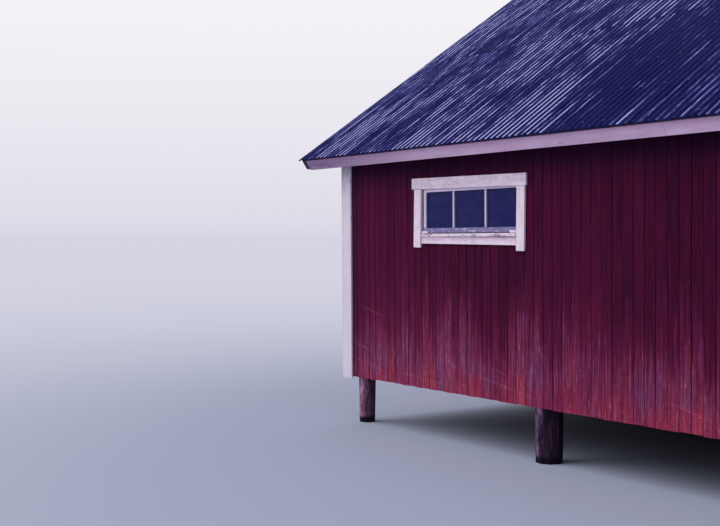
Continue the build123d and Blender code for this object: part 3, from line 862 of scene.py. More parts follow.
def window_parts(shapes, side, hole, tilts):
    """The boards of one window. The shapes are keyed by node, and side is -1 for the front."""
    left, right, foot, head = (place + lining_thickness * way for place, way in zip(hole, (1, -1, 1, -1)))
    sill_top = foot + sill_thickness
    glass_foot, glass_head = sill_top + sash_bottom_rail, head - sash_member

    def board(node, x_low, x_high, out, depth, z_low, z_high, tilt=0.0, edge=2 * MM, wander=0.8 * MM,
              age=0.0, ragged=0.0):
        """A board whose outer face is this far out of the wall, a little crooked by its tilt."""
        outer, inner = side * (front_face + out), side * (front_face + out - depth)
        pivot = Matrix.Translation(((x_low + x_high) / 2, outer, (z_low + z_high) / 2))
        place = pivot @ Matrix.Rotation(math.radians(tilt), 4, "Y") @ pivot.inverted() if tilt else None
        add_board(shapes[node], Vector((x_low, min(outer, inner), z_low)),
                  Vector((x_high, max(outer, inner), z_high)), edge, wander, place, age, ragged)

    lining_depth = front_face - lining_back
    for x_low, x_high in ((left - lining_thickness, left), (right, right + lining_thickness)):
        # The side linings take age 1: more wear, and the painted shade of the reveals.
        board("window_linings", x_low, x_high, 0.0, lining_depth, foot, head, wander=0.0, age=1.0)
    for z_low, z_high in ((foot - lining_thickness, foot), (head, head + lining_thickness)):
        board("window_linings", left - lining_thickness, right + lining_thickness, 0.0, lining_depth,
              z_low, z_high, wander=0.0)

    front = casing_thickness - MM
    head_foot = head - head_casing_drop
    jamb_foot = sill_top - jamb_hang
    for x_low, x_high, out, z_low, z_high, tilt, age in (
            (left - casing_width - head_casing_horn, right + casing_width + 8 * MM, front,
             head_foot, head_foot + head_casing_height, tilts[0], 0.0),
            (left - casing_width, left - 14 * MM, front, jamb_foot + 11 * MM, head - MM, tilts[1], 0.0),
            (right + 4 * MM, right + casing_width - 13 * MM, front, jamb_foot - 14 * MM, head - 18 * MM,
             tilts[2], 0.0),
            (left - 3 * MM, right - MM, front - MM, foot - bottom_casing_height, foot - 5 * MM,
             tilts[3], 0.5)):
        board("window_casings", x_low, x_high, out, out, z_low, z_high, tilt, edge=3 * MM, age=age)

    board("window_sills", left, right, sill_projection, sash_setback + sash_depth + sill_projection,
          foot, sill_top - MM, edge=9 * MM, wander=1.5 * MM, age=0.8, ragged=0.16)
    for x_low in (left + 3 * MM, right - stop_length - 3 * MM):
        board("window_sills", x_low, x_low + stop_length, 0.016, 0.022, sill_top, sill_top + stop_size,
              edge=3 * MM)

    muntins = [(left + right) / 2 + share * (right - left) for share in muntin_shares]
    edges = [left + sash_stile, *muntins, right - sash_stile]
    # The stiles and the top rail take negative age, which pales them as painted light against the casings'
    # shade.
    for x_low, x_high, z_low, z_high, age in (
            (left, right, sill_top + 5 * MM, glass_foot, 1.0), (left, right, glass_head, head, -0.55),
            (left, edges[0], glass_foot, glass_head, -1.0), (edges[-1], right, glass_foot, glass_head, -1.0)):
        board("window_sashes", x_low, x_high, -sash_setback, sash_depth, z_low, z_high, age=age)
    for x in muntins:
        board("window_sashes", x - muntin_width / 2, x + muntin_width / 2, -sash_setback - 3 * MM,
              sash_depth - 6 * MM, glass_foot, glass_head)
    for x_low, x_high in zip(edges, edges[1:]):
        board("window_panes", x_low - pane_gap, x_high + pane_gap, 2 * MM - sash_setback - sash_depth / 2,
              4 * MM, glass_foot - 4 * MM, glass_head + 4 * MM, edge=0.3 * MM, wander=0.0)


sash_finish, glass_finish = sash_paint(), window_glass()
window_slots = {"window_linings": ("white_trim", trim_finish), "window_sills": ("white_trim", trim_finish),
                "window_casings": ("white_trim", trim_finish), "window_sashes": ("sash_paint", sash_finish),
                "window_panes": ("window_glass", glass_finish)}
window_shapes = {node: bmesh.new() for node in window_slots}
window_tilts = {(-1, 0): (0.69, 1.5, 1.1, 0.6), (-1, 1): (0.3, -0.6, 0.5, 0.2),
                (1, 0): (0.35, -0.5, 0.4, 0.3), (1, 1): (0.2, 0.6, 0.3, 0.35)}
for side, holes in window_holes.items():
    for number, hole in enumerate(sorted(holes)):
        window_parts(window_shapes, side, hole, window_tilts[side, number])
for node, (slot, finish) in window_slots.items():
    finished("made_" + node, as_mesh(window_shapes[node], node), finish, slot, node)


# Doors: two tall leaves for boats in the lake gable and one door in the land gable. Each is
# upright red boards on ledges and a brace, hung on iron straps, with a forged pull.
def door_iron():
    iron = Finish("door_iron", roughness=0.55)
    rust = iron.cloud(30.0, 5.0, 0.65)
    iron.colour(iron.ramp(rust, 0.48, 0.62, (0.012, 0.011, 0.018), (0.085, 0.030, 0.024)))
    iron.plug(iron.shader.inputs["Metallic"], 0.25)
    iron.relief(rust, 0.0015, 0.6)
    return iron


iron_finish = door_iron()
leaf_board_cover = 0.118
leaf_board_thickness = 0.022
ledge_height = 0.120
ledge_end_gap = 0.040
ledge_foot_gap = 0.160
brace_width = 0.110
brace_lean = 0.12


def bar(shape, start, end, width, depth):
    """A straight board between two points on its middle line, flat against a gable's wall."""
    normal = Vector((1.0, 0.0, 0.0))
    along = (end - start).normalized()
    turn = Matrix((along.cross(normal), normal, along)).transposed().to_4x4()
    turn.translation = (start + end) / 2
    half = Vector((width / 2, depth / 2, (end - start).length / 2))
    add_board(shape, -half, half, 2 * MM, 0.0, turn)


def hang_leaf(node, side, hinge_side, seed):
    """A door leaf: boards outside, three ledges and a brace up from the hinge side inside."""
    (low_x, low_y, low_z), (high_x, high_y, high_z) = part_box(node)
    face = side * max(abs(low_x), abs(high_x))
    half = (high_y - low_y) / 2
    starts = board_starts(node, -half, half, leaf_board_cover, low_z, lambda start, end: high_z)
    place = Matrix.Translation((face, (low_y + high_y) / 2, 0.0))
    place = place @ Matrix.Rotation(side * math.pi / 2, 4, "Z")
    mesh = board_rows(starts, red_finish, leaf_board_thickness, seed, place, proud=1 * MM, bow=1 * MM)
    shape = bmesh.new()
    shape.from_mesh(mesh)
    ledge_depth = high_x - low_x - leaf_board_thickness
    ledge_x = face - side * (leaf_board_thickness + ledge_depth / 2)
    low_edge, high_edge = low_y + ledge_end_gap, high_y - ledge_end_gap
    hinge_edge, free_edge = (low_edge, high_edge) if hinge_side < 0 else (high_edge, low_edge)
    lean = brace_lean * (free_edge - hinge_edge)
    ledges = [low_z + ledge_foot_gap, (low_z + high_z) / 2, high_z - ledge_foot_gap]
    for z in ledges:
        bar(shape, Vector((ledge_x, low_edge, z)), Vector((ledge_x, high_edge, z)),
            ledge_height, ledge_depth)
    for foot, head in zip(ledges, ledges[1:]):
        bar(shape, Vector((ledge_x, hinge_edge + lean, foot + ledge_height / 2)),
            Vector((ledge_x, free_edge - lean, head - ledge_height / 2)), brace_width, ledge_depth - 2 * MM)
    shape.to_mesh(mesh)
    shape.free()
    finished("leaf_" + node, mesh, red_finish, "wall_boards", node)


hang_leaf("boat_door_left", -1, 1, 53)
hang_leaf("boat_door_right", -1, -1, 59)
hang_leaf("land_door", 1, 1, 61)
for casing_node in ("boat_door_casing", "land_door_casing"):
    (low_x, low_y, low_z), (high_x, high_y, high_z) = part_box(casing_node)
    head_z = high_z - casing_width
    board_piece("planed_" + casing_node,
                [((low_x, low_y, low_z), (high_x, low_y + casing_width, head_z)),
                 ((low_x, high_y - casing_width, low_z), (high_x, high_y, head_z)),
                 ((low_x, low_y, head_z), (high_x, high_y, high_z))],
                trim_finish, "white_trim", casing_node, edge=3 * MM)

strap_tip_share = 0.52
knuckle_radius = 9 * MM
knuckle_lift = 4 * MM
knuckle_end = 6 * MM
bolt_radius = 9 * MM
bolt_rise = 4 * MM
hinge_root = 0.090
hinge_nodes = ("boat_door_hinges", "land_door_hinges")
pull_nodes = ("boat_door_pulls", "land_door_pull")
pull_width = 16 * MM
pull_depth = 11 * MM
pull_end = 16 * MM
pull_steps = 16
pull_outline = ((1, 0.5), (0.6, 1), (-0.6, 1), (-1, 0.5), (-1, -0.5), (-0.6, -1), (0.6, -1), (1, -0.5))
pull_foot = (15 * MM, 17 * MM)
pull_foot_depth = 5 * MM


def round_outline(half_width, half_height, sides):
    return [(half_width * math.cos(math.tau * step / sides), half_height * math.sin(math.tau * step / sides))
            for step in range(sides)]


def add_dome(shape, centre, normal, radius, rise, sides=8):
    """A low domed head on a surface."""
    first = normal.orthogonal().normalized()
    second = normal.cross(first)
    skin(shape, [[shape.verts.new(centre + normal * rise * lift + first * x + second * y)
                  for x, y in round_outline(radius * share, radius * share, sides)]
                 for share, lift in ((1.0, 0.0), (0.86, 0.6), (0.45, 0.95))])


def add_slab(shape, outline, place, depth):
    """A flat plate over an outline in its own plane, from the plane out by its depth."""
    skin(shape, [[shape.verts.new(place @ Vector((x, y, z))) for x, y in outline] for z in (0.0, depth)])


def on_gable(side, x, y, z, inward=1):
    """The place of a flat plate on a gable: its X runs along the wall, and its Y up."""
    return Matrix(((0.0, 0.0, side, x), (inward, 0.0, 0.0, y), (0.0, 1.0, 0.0, z), (0.0, 0.0, 0.0, 1.0)))


def strap_outline(length, height):
    """A strap that tapers from its root to a round tip; x runs from the knuckle."""
    tip = height * strap_tip_share / 2
    reach = length - hinge_root - tip
    outline = [(-hinge_root, -height / 2), (0.0, -height / 2), (reach, -tip)]
    outline += [(reach + tip * math.sin(angle), -tip * math.cos(angle))
                for angle in (math.pi * step / 8 for step in range(1, 8))]
    return outline + [(reach, tip), (0.0, height / 2), (-hinge_root, height / 2)]


def add_hinge(shape, low, high, side):
    """A forged strap with its knuckle and its bolts."""
    plane = min(abs(low.x), abs(high.x))
    inward = -1 if (low.y + high.y) > 0 else 1
    knuckle_y = (high.y if inward < 0 else low.y) + inward * hinge_root
    length, height, depth = high.y - low.y, high.z - low.z, high.x - low.x
    middle_z = (low.z + high.z) / 2
    add_slab(shape, strap_outline(length, height), on_gable(side, side * plane, knuckle_y, middle_z, inward),
             depth)
    knuckle_foot = (side * (plane + knuckle_lift), knuckle_y, low.z - knuckle_end)
    add_slab(shape, round_outline(knuckle_radius, knuckle_radius, 12), Matrix.Translation(knuckle_foot),
             height + 2 * knuckle_end)
    bolts = [-hinge_root * 0.7, -hinge_root * 0.3]
    bolts += [(length - hinge_root) * share for share in (0.10, 0.36, 0.62, 0.88)]
    for along in bolts:
        add_dome(shape, Vector((side * (plane + depth), knuckle_y + inward * along, middle_z)),
                 Vector((side, 0.0, 0.0)), bolt_radius, bolt_rise)


def add_pull(shape, low, high, side):
    """A flat bar bent out from the leaf and back, with a round foot at each end."""
    plane, reach = sorted((abs(low.x), abs(high.x)))
    y, middle_z = (low.y + high.y) / 2, (low.z + high.z) / 2
    half = (high.z - low.z) / 2 - pull_end
    across = Vector((0.0, 1.0, 0.0))
    path = []
    for step in range(pull_steps + 1):
        angle = math.pi * step / pull_steps
        bulge = min(1.0, 1.25 * math.sin(angle)) ** 0.7
        path.append(Vector((side * (plane + pull_foot_depth + (reach - plane - pull_depth) * bulge), y,
                            middle_z - half * math.cos(angle))))
    rings = []
    for spot, before, after in zip(path, path[:1] + path, path[1:] + path[-1:]):
        outward = across.cross((after - before).normalized())
        rings.append([shape.verts.new(spot + across * x * pull_width / 2 + outward * out * pull_depth / 2)
                      for x, out in pull_outline])
    skin(shape, rings)
    for foot_z in (middle_z - half, middle_z + half):
        add_slab(shape, round_outline(*pull_foot, 12), on_gable(side, side * plane, y, foot_z),
                 pull_foot_depth)


for iron_nodes, add_iron in ((hinge_nodes, add_hinge), (pull_nodes, add_pull)):
    for iron_node in iron_nodes:
        shape = bmesh.new()
        for low, high in loose_parts(iron_node):
            add_iron(shape, low, high, 1 if low.x > 0 else -1)
        bmesh.ops.recalc_face_normals(shape, faces=shape.faces)
        finished("forged_" + iron_node, as_mesh(shape, iron_node), iron_finish, "door_iron", iron_node)


# Floor and bulkhead: floor planks laid along the house over the joists, and a row of
# tarred planks under the middle, which screens the water lane behind it.
def sawn_wood(name, roughness, scale, dark, pale, distance=0.0015, strength=0.6):
    """Sawn wood in two tones along its fibres. The tone is kept for coats over it."""
    wood = Finish(name, roughness)
    grain = wood.fibres(scale)
    wood.tone = wood.blend(grain, dark, pale)
    wood.colour(wood.tone)
    wood.relief(grain, distance, strength)
    return wood


floor_wood = sawn_wood("floor_planks", 0.85, (70.0, 70.0, 2.0), (0.10, 0.075, 0.065), (0.30, 0.24, 0.21))
floor_wood.colour(floor_wood.coats(floor_wood.tone,
                                   (floor_wood.own("age"), 0.0, 1.0, 0.5, (0.12, 0.095, 0.10))))
tarred_wood = sawn_wood("tarred_wood", 0.6, (60.0, 60.0, 2.0), (0.004, 0.003, 0.006), (0.022, 0.018, 0.024),
                        0.002, 0.7)
plank_cover = 0.127
plank_length = 4.2
plank_joint = 1 * MM
shortest_plank = 0.6
bulkhead_cover = 0.155
bulkhead_foot_gap = 0.2 * MM


def laid_starts(name, low, high, start, end, cover, seed):
    """Rows of lengths laid end to end, each row joined at its own places."""
    chance = random.Random(seed)
    count = round((high - low) / cover)
    cover = (high - low) / count
    lengths = []
    for row in range(count):
        near = start
        far = start + plank_length * chance.choice((0.35, 0.5, 0.65, 0.85, 1.0))
        while near < end - plank_joint:
            far = end if end - far < shortest_plank else far
            lengths.append((low + row * cover, low + (row + 1) * cover, near + plank_joint / 2,
                            far - plank_joint / 2))
            near, far = far, far + plank_length
    return start_points(name, lengths)


(low_x, low_y, low_z), (high_x, high_y, high_z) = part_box("floor_deck")
deck_place = Matrix(((0.0, 0.0, 1.0, 0.0), (1.0, 0.0, 0.0, 0.0), (0.0, -1.0, 0.0, high_z),
                     (0.0, 0.0, 0.0, 1.0)))
deck_starts = laid_starts("floor", low_y, high_y, low_x, high_x, plank_cover, 5)
deck_mesh = board_rows(deck_starts, floor_wood, high_z - low_z, 67, deck_place, proud=0.4 * MM)
finished("floor_planks", deck_mesh, floor_wood, "floor_wood", "floor_deck")

(low_x, low_y, low_z), (high_x, high_y, high_z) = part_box("middle_bulkhead")
bulkhead_starts = board_starts("bulkhead", low_x, high_x, bulkhead_cover, low_z + bulkhead_foot_gap,
                               lambda start, end: high_z)
bulkhead_mesh = board_rows(bulkhead_starts, tarred_wood, high_y - low_y, 71,
                           Matrix.Translation((0, low_y, 0)), proud=2 * MM, bow=2 * MM)
finished("bulkhead_planks", bulkhead_mesh, tarred_wood, "tarred_wood", "middle_bulkhead")


# Roof timber: planks across the rafters, fascia boards over the rafter ends, and barge
# boards over the end rafters. The planks' undersides show at the eaves, with painted shadow
# along their outer edge.
def eave_paint():
    eave = Finish("eave_boards", roughness=0.6)
    fine = eave.fibres((110.0, 110.0, 3.0), 4.0, 0.6)
    soft = eave.fibres((8.0, 8.0, 1.4))
    wear = eave.fibres((40.0, 40.0, 6.0), 5.0, 0.65)
    blush = eave.fibres((9.0, 9.0, 2.3), 4.0, 0.65)
    bare = eave.blend(fine, (0.06, 0.045, 0.09), (0.17, 0.14, 0.20))
    eave.colour(eave.coats(eave.ramp(soft, 0.3, 0.7, (0.62, 0.42, 0.61), (0.82, 0.59, 0.81)),
                           (eave.parts(eave.place)["X"], -2.6, -4.4, 0.80, (0.155, 0.108, 0.24)),
                           (eave.parts(eave.grain())["Y"], 0.005, 0.058, 0.55, (0.56, 0.30, 0.53)),
                           (blush, 0.50, 0.68, 0.45, (0.72, 0.36, 0.56)),
                           (wear, 0.63, 0.70, 0.85, bare)))
    eave.relief(fine, 0.0012, 0.5)
    return eave


eave_finish = eave_paint()
soffit_finish = sawn_wood("roof_boards", 0.88, (60.0, 60.0, 2.0), (0.070, 0.052, 0.058), (0.22, 0.17, 0.17))
# Painted shadow: the planks darken at their outer edge, under the sheets' ends.
eave_edge_shade_reach = soffit_finish.size(soffit_finish.parts(soffit_finish.place)["Y"])
soffit_finish.colour(soffit_finish.coats(soffit_finish.tone,
                                         (soffit_finish.own("age"), 0.0, 1.0, 0.6, (0.075, 0.055, 0.065)),
                                         (eave_edge_shade_reach, 3.44, 3.475, 0.94, (0.026, 0.011, 0.032))))
dark_finish = sawn_wood("dark_trim", 0.7, (90.0, 90.0, 2.5), (0.018, 0.012, 0.022), (0.075, 0.055, 0.085))
roof_angle = math.atan(roof_slope)
roof_sine, roof_cosine = math.sin(roof_angle), math.cos(roof_angle)
sheet_edge_y = 3.505
eave_edge_height = 2.815
roof_plank_underside = 0.0308
roof_plank_thickness = 0.020
roof_plank_cover = 0.122
fascia_thickness = 0.022
fascia_height = 0.118
fascia_joints = (-4.700, -1.870, 0.225, 3.300, 4.700)
fascia_gap = 1 * MM


def slope_frame(side):
    """From up the slope, out of it and along the eave to the building; side is -1 for the front."""
    return Matrix(((0.0, 0.0, -side, 0.0),
                   (-side * roof_cosine, side * roof_sine, 0.0, side * sheet_edge_y),
                   (roof_sine, roof_cosine, 0.0, eave_edge_height), (0.0, 0.0, 0.0, 1.0)))


def way_up(y, depth):
    """How far up the slope a place at y lies, when it is this deep below the sheets' middle."""
    return (sheet_edge_y - abs(y) - depth * roof_sine) / roof_cosine


roof_sides = ((-1, "front"), (1, "back"))
for side, wall in roof_sides:
    node = wall + "_roof_boards"
    (low_x, low_y, low_z), (high_x, high_y, high_z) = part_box(node)
    ridge_y, eave_y = sorted((abs(low_y), abs(high_y)))
    foot = way_up(eave_y, roof_plank_underside - roof_plank_thickness)
    top = way_up(ridge_y, roof_plank_underside)
    starts = laid_starts(node, foot, top, low_x, high_x, roof_plank_cover, 17 + side)
    place = slope_frame(side) @ Matrix.Translation((0.0, -roof_plank_underside, 0.0))
    mesh = board_rows(starts, soffit_finish, roof_plank_thickness, 73 + side, place)
    finished("laid_" + node, mesh, soffit_finish, "roof_boards", node)

    node = wall + "_fascia"
    outer = way_up(max(abs(corner[1]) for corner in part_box(node)), roof_plank_underside)
    corners = [((outer, -roof_plank_underside - fascia_height, low + fascia_gap / 2),
                (outer + fascia_thickness, -roof_plank_underside, high - fascia_gap / 2))
               for low, high in zip(fascia_joints, fascia_joints[1:])]
    board_piece("made_" + node, corners, eave_finish, "eave_boards", node, edge=3 * MM,
                place=slope_frame(side))
for dark_node in ("end_rafters", "lake_barge_boards", "land_barge_boards"):
    sawn_copy(dark_node, dark_finish, "dark_trim", edge=2 * MM)


# Roof sheets: corrugated steel in two courses a side, each sheet lapped one wave over the
# next and nailed through its crests. The navy paint has worn to pale zinc along the crests;
# the pale crest streaks are also painted highlights, and the valleys carry painted shade.
wave_pitch = 0.076
wave_depth = 0.018
waves_in_cover = 9
sheets_in_course = 14
points_in_wave = 10
sheet_metal = 1 * MM
sheet_slide = 5 * MM
sheet_dents = 2.2 * MM
lap_lift = 1.2 * MM
lower_course_length = 2.250
course_lap = 0.150
upper_lift = 3.3 * MM
sheet_stations = 9
half_roof = sheets_in_course * waves_in_cover * wave_pitch / 2
# How much more of the crests is pale, as worn paint and painted highlight, from one place along the roof to
# the next, and in patches on the slopes, each given by its place along the roof, its height and its change.
sheet_zones = ((-4.15, -3.85, -0.10), (-3.5, -3.2, 0.05), (-2.85, -2.6, 0.05), (-2.3, -2.0, -0.03),
               (-1.65, -1.3, -0.12), (-0.9, 0.4, -0.11), (1.6, 2.8, 0.20))
sheet_patches = ((-1.42, 3.00, 0.20), (-2.5, 3.70, 0.06), (-2.4, 2.85, -0.07), (-3.7, 4.50, -0.06),
                 (-3.6, 3.65, 0.07), (-4.1, 2.85, 0.12))


def sheet_paint():
    sheet = Finish("roof_sheets", roughness=0.55, gloss=0.015)
    along, inward, height = sheet.parts(sheet.place)
    crest = sheet.own("crest")
    zone = sheet.cloud((0.55, 0.42, 0.42))
    patch = sheet.fibres((3.2, 3.2, 1.0), 3.0)
    speck = sheet.fibres((60.0, 60.0, 14.0), 4.0, 0.65)
    streak = sheet.fibres((9.5, 1.0, 1.5), 4.0, 0.6)
    thin = sheet.fibres((34.0, 1.0, 1.4), 3.0, 0.6)
    for start, end, change in sheet_zones:
        zone = sheet.add(zone, sheet.between(along, start, end, 0.0, change))
    flat = sheet.stretched(sheet.place, (1.0, 0.0, 1.0))
    for middle, rise, change in sheet_patches:
        distance = sheet.vector_maths("DISTANCE", flat, (middle, 0.0, rise), "Value")
        zone = sheet.add(zone, sheet.between(distance, 0.20, 0.50, change, 0.0))
    dense = sheet.add(streak, sheet.times(sheet.maths("SUBTRACT", zone, 0.37), 0.75))
    dense = sheet.swayed(sheet.swayed(dense, patch, 0.35), thin, 0.22)
    torn = sheet.swayed(dense, speck, 0.22)
    # The pale streaks along the crests are partly worn paint and partly painted highlight.
    rubbed = sheet.times(sheet.between(crest, 0.55, 0.97), sheet.between(torn, 0.49, 0.63),
                         sheet.between(speck, 0.30, 0.60, 0.35, 1.0))
    bare = sheet.times(sheet.between(crest, 0.85, 0.98), sheet.between(torn, 0.595, 0.65))
    # The crest ramp paints the valleys dark and the crests lighter, as painted shade and light.
    sheet.colour(sheet.coats(sheet.ramp(crest, 0.1, 0.9, (0.0016, 0.0026, 0.046), (0.0120, 0.0155, 0.098)),
                             (patch, 0.40, 0.70, 0.50, (0.018, 0.019, 0.108)),
                             (height, 3.1, 4.3, 0.40, (0.027, 0.029, 0.118)),
                             (thin, 0.60, 0.70, 0.30, (0.150, 0.145, 0.42)),
                             (rubbed, 0.0, 1.0, 1.0, (0.200, 0.198, 0.59)),
                             (bare, 0.0, 1.0, 1.0, (0.53, 0.52, 0.88)),
                             # Painted shade on the last wave at each verge.
                             (sheet.size(along), 4.742, 4.762, 0.85, (0.006, 0.008, 0.022))))
    sheet.relief(speck, 0.0008, 0.4)
    return sheet


sheet_finish = sheet_paint()


def smoothed(shape, degrees):
    """Rounds a shape's shading, but for the edges that turn by more than the angle."""
    for face in shape.faces:
        face.smooth = True
    for item in shape.edges:
        item.smooth = item.calc_face_angle(0.0) < math.radians(degrees)


def sheet_blank(name, waves):
    """A sheet one metre long: X across its waves, Y out of the roof, Z along the slope."""
    columns = range(waves * points_in_wave + 1)
    rows = range(sheet_stations)
    covered = waves_in_cover * points_in_wave
    shape = bmesh.new()
    crest = shape.verts.layers.float.new("crest")
    corners = {}
    for layer in (0, 1):
        for row in rows:
            for column in columns:
                wave = math.sin(math.tau * column / points_in_wave)
                lift = lap_lift * min(1.0, max(0.0, (column - covered) / 3.0 + 0.6))
                corner = shape.verts.new((column * wave_pitch / points_in_wave,
                                          wave_depth / 2 * wave + lift - layer * sheet_metal, row / rows[-1]))
                corner[crest] = 0.5 + 0.5 * wave
                corners[layer, row, column] = corner

    def quad(*places):
        shape.faces.new([corners[place] for place in places])

    for row in rows[:-1]:
        for column in columns[:-1]:
            for layer in (0, 1):
                quad((layer, row, column), (layer, row + 1, column), (layer, row + 1, column + 1),
                     (layer, row, column + 1))
        for column in (0, columns[-1]):
            quad((0, row, column), (0, row + 1, column), (1, row + 1, column), (1, row, column))
    for row in (0, rows[-1]):
        for column in columns[:-1]:
            quad((0, row, column), (0, row, column + 1), (1, row, column + 1), (1, row, column))
    bmesh.ops.recalc_face_normals(shape, faces=shape.faces)
    smoothed(shape, 50.0)
    return bpy.data.objects.new(name, as_mesh(shape, name))


def sheet_course():
    """A sheet on each point, slid a little along the slope and dented."""
    course = Recipe("sheet_course", Blank="Object", Length="Float", Slide="Float", Dents="Float", Seed="Int",
                    Finish="Material")
    given = course.given
    starts = course.moved(given["Geometry"],
                          Offset=course.triple(0.0, 0.0, course.chance(0.0, given["Slide"], 1)))
    sheets = course.repeated(starts, given["Blank"], Scale=course.triple(1.0, 1.0, given["Length"]))
    sheets = course.real(course.noted(sheets, "age", course.chance(0.0, 1.0, 2)))
    course.close(course.waved(course.fibred(sheets, "age", 29.0), (2.4, 0.0, 1.1), given["Dents"]))
    return course


sheet_recipe = sheet_course()
lapped_blank = sheet_blank("lapped_sheet", waves_in_cover + 1)
last_blank = sheet_blank("last_sheet", waves_in_cover)


def roof_course(name, node, side, start, end, lift, seed):
    """One course of lapped sheets on one slope, in place of its node."""
    shape = bmesh.new()
    for blank, numbers in ((lapped_blank, range(sheets_in_course - 1)), (last_blank, [sheets_in_course - 1])):
        starts = bpy.data.meshes.new(name)
        starts.from_pydata([(number * waves_in_cover * wave_pitch - half_roof, 0.0, start)
                            for number in numbers], [], [])
        shape.from_mesh(sheet_recipe.made_from(starts, Blank=blank, Length=end - start, Slide=sheet_slide,
                                               Dents=sheet_dents, Seed=seed, Finish=sheet_finish.material))
    mesh = as_mesh(shape, name)
    across_first = Matrix(((0.0, 0.0, 1.0, 0.0), (0.0, 1.0, 0.0, lift), (-1.0, 0.0, 0.0, 0.0),
                           (0.0, 0.0, 0.0, 1.0)))
    mesh.transform(slope_frame(side) @ across_first)
    finished(name, mesh, sheet_finish, "roof_sheets", node)


ridge_edge = way_up(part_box("front_upper_sheets")[1][1], -upper_lift) - 8 * MM
for (side, wall), seed in zip(roof_sides, (83, 97)):
    roof_course(wall + "_eave_course", wall + "_lower_sheets", side, 0.0, lower_course_length, 0.0, seed)
    roof_course(wall + "_ridge_course", wall + "_upper_sheets", side, lower_course_length - course_lap,
                ridge_edge, upper_lift, seed + 1)


# Ridge cap: a folded steel cap with a roll along its top, in lengths lapped over each other,
# worn like the sheets. Its wings rest on the crests of the upper course.
def cap_paint():
    cap = Finish("ridge_cap", roughness=0.5, gloss=0.08)
    patch = cap.cloud((3.2, 11.0, 11.0), 6.0, 0.72)
    speck = cap.cloud(55.0, 4.0, 0.65)
    roll = cap.between(cap.size(cap.parts(cap.place)["Y"]), 0.055, 0.015, 0.0, 0.13)
    rubbed = cap.add(patch, roll, cap.times(speck, 0.16))
    cap.colour(cap.coats(cap.blend(patch, (0.006, 0.008, 0.062), (0.028, 0.030, 0.135)),
                         (rubbed, 0.645, 0.69, 0.85, (0.24, 0.235, 0.45)),
                         (speck, 0.58, 0.68, 0.50, (0.12, 0.115, 0.26))))
    cap.relief(speck, 0.0008, 0.4)
    return cap


cap_length = 2.0
cap_lap = 1.2 * MM
cap_joint = 1 * MM
cap_joints = [cap_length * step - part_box("ridge_cap")[1][0] for step in range(1, 5)]
cap_shape = welded("ridge_cap")
for cut in [joint + offset for joint in cap_joints for offset in (-cap_joint, cap_joint)]:
    bmesh.ops.bisect_plane(cap_shape, geom=[*cap_shape.verts, *cap_shape.edges, *cap_shape.faces],
                           plane_co=(cut, 0.0, 0.0), plane_no=(1.0, 0.0, 0.0), dist=0.01 * MM)
for corner in cap_shape.verts:
    number = sum(corner.co.x > joint for joint in cap_joints)
    corner.co.z -= cap_lap * (number % 2)
smoothed(cap_shape, 40.0)
finished("folded_ridge_cap", as_mesh(cap_shape, "ridge_cap"), cap_paint(), "roof_sheets", "ridge_cap")


# Nails: roofing nails with domed heads through every third crest, and round nail heads in
# pairs across the boards, over the rails behind them.
def nail_heads():
    """A head on each point, turned as the point says."""
    nails = Recipe("nail_heads", Head="Object", Finish="Material")
    heads = nails.repeated(nails.given["Geometry"], nails.given["Head"],
                           Rotation=nails.carried("turn", "FLOAT_VECTOR"))
    nails.close(nails.real(heads))
    return nails


def nail_metal(name, roughness, gloss, scale, dark, pale):
    metal = Finish(name, roughness, gloss)
    metal.colour(metal.blend(metal.cloud(scale), dark, pale))
    return metal


nail_recipe = nail_heads()
zinc_finish = nail_metal("roofing_nails", 0.5, 0.2, 40.0, (0.009, 0.011, 0.066), (0.032, 0.034, 0.150))
head_finish = nail_metal("iron_nails", 0.7, 0.12, 60.0, (0.015, 0.010, 0.018), (0.070, 0.034, 0.038))
roof_nail_rows = (0.09, 0.62, 1.16, 1.70, 2.17, 2.70, 3.24, 3.78)
waves_to_nail = 3
roof_nail_lift = 1 * MM
cap_nail_lift = 1.6 * MM
cap_nail_edge = 0.035
wall_nail_rows = (0.60, 1.05, 1.66, 2.26, 2.84)
gable_nail_rows = wall_nail_rows + (3.45, 4.05, 4.60)
nail_top_gap = 0.06
nail_hole_gap = 0.13
nail_sink = 0.2 * MM
wall_nail_ends = {"front": 0.15, "back": 0.15, "lake_gable": 0.13, "land_gable": 0.13}
corner_nail_rows = (0.55, 0.95, 1.40, 1.85, 2.30, 2.70)
trim_face = 0.0221
fascia_nail_face = 0.0303
fascia_nail_spacing = 0.7205
door_openings = ((-1, 2.6, 2.25), (1, 0.9, 1.95))
chance = random.Random(7)


def jitter(reach):
    return chance.uniform(-reach, reach)


def nailed(name, nails, radius, rise, sides, finish, slot):
    """Nail heads as one piece. A nail has its spot, and the direction out of its surface."""
    head = bmesh.new()
    add_dome(head, Vector((0.0, 0.0, 0.0)), Vector((0.0, 0.0, 1.0)), radius, rise, sides)
    bmesh.ops.recalc_face_normals(head, faces=head.faces)
    mesh = bpy.data.meshes.new(name)
    mesh.from_pydata([spot for spot, out in nails], [], [])
    turns = [angle for spot, out in nails for angle in out.to_track_quat("Z", "Y").to_euler()]
    mesh.attributes.new("turn", "FLOAT_VECTOR", "POINT").data.foreach_set("vector", turns)
    made = nail_recipe.made_from(mesh, Head=bpy.data.objects.new(name + "_head", as_mesh(head, name)),
                                 Finish=finish.material)
    finished(name, made, finish, slot)


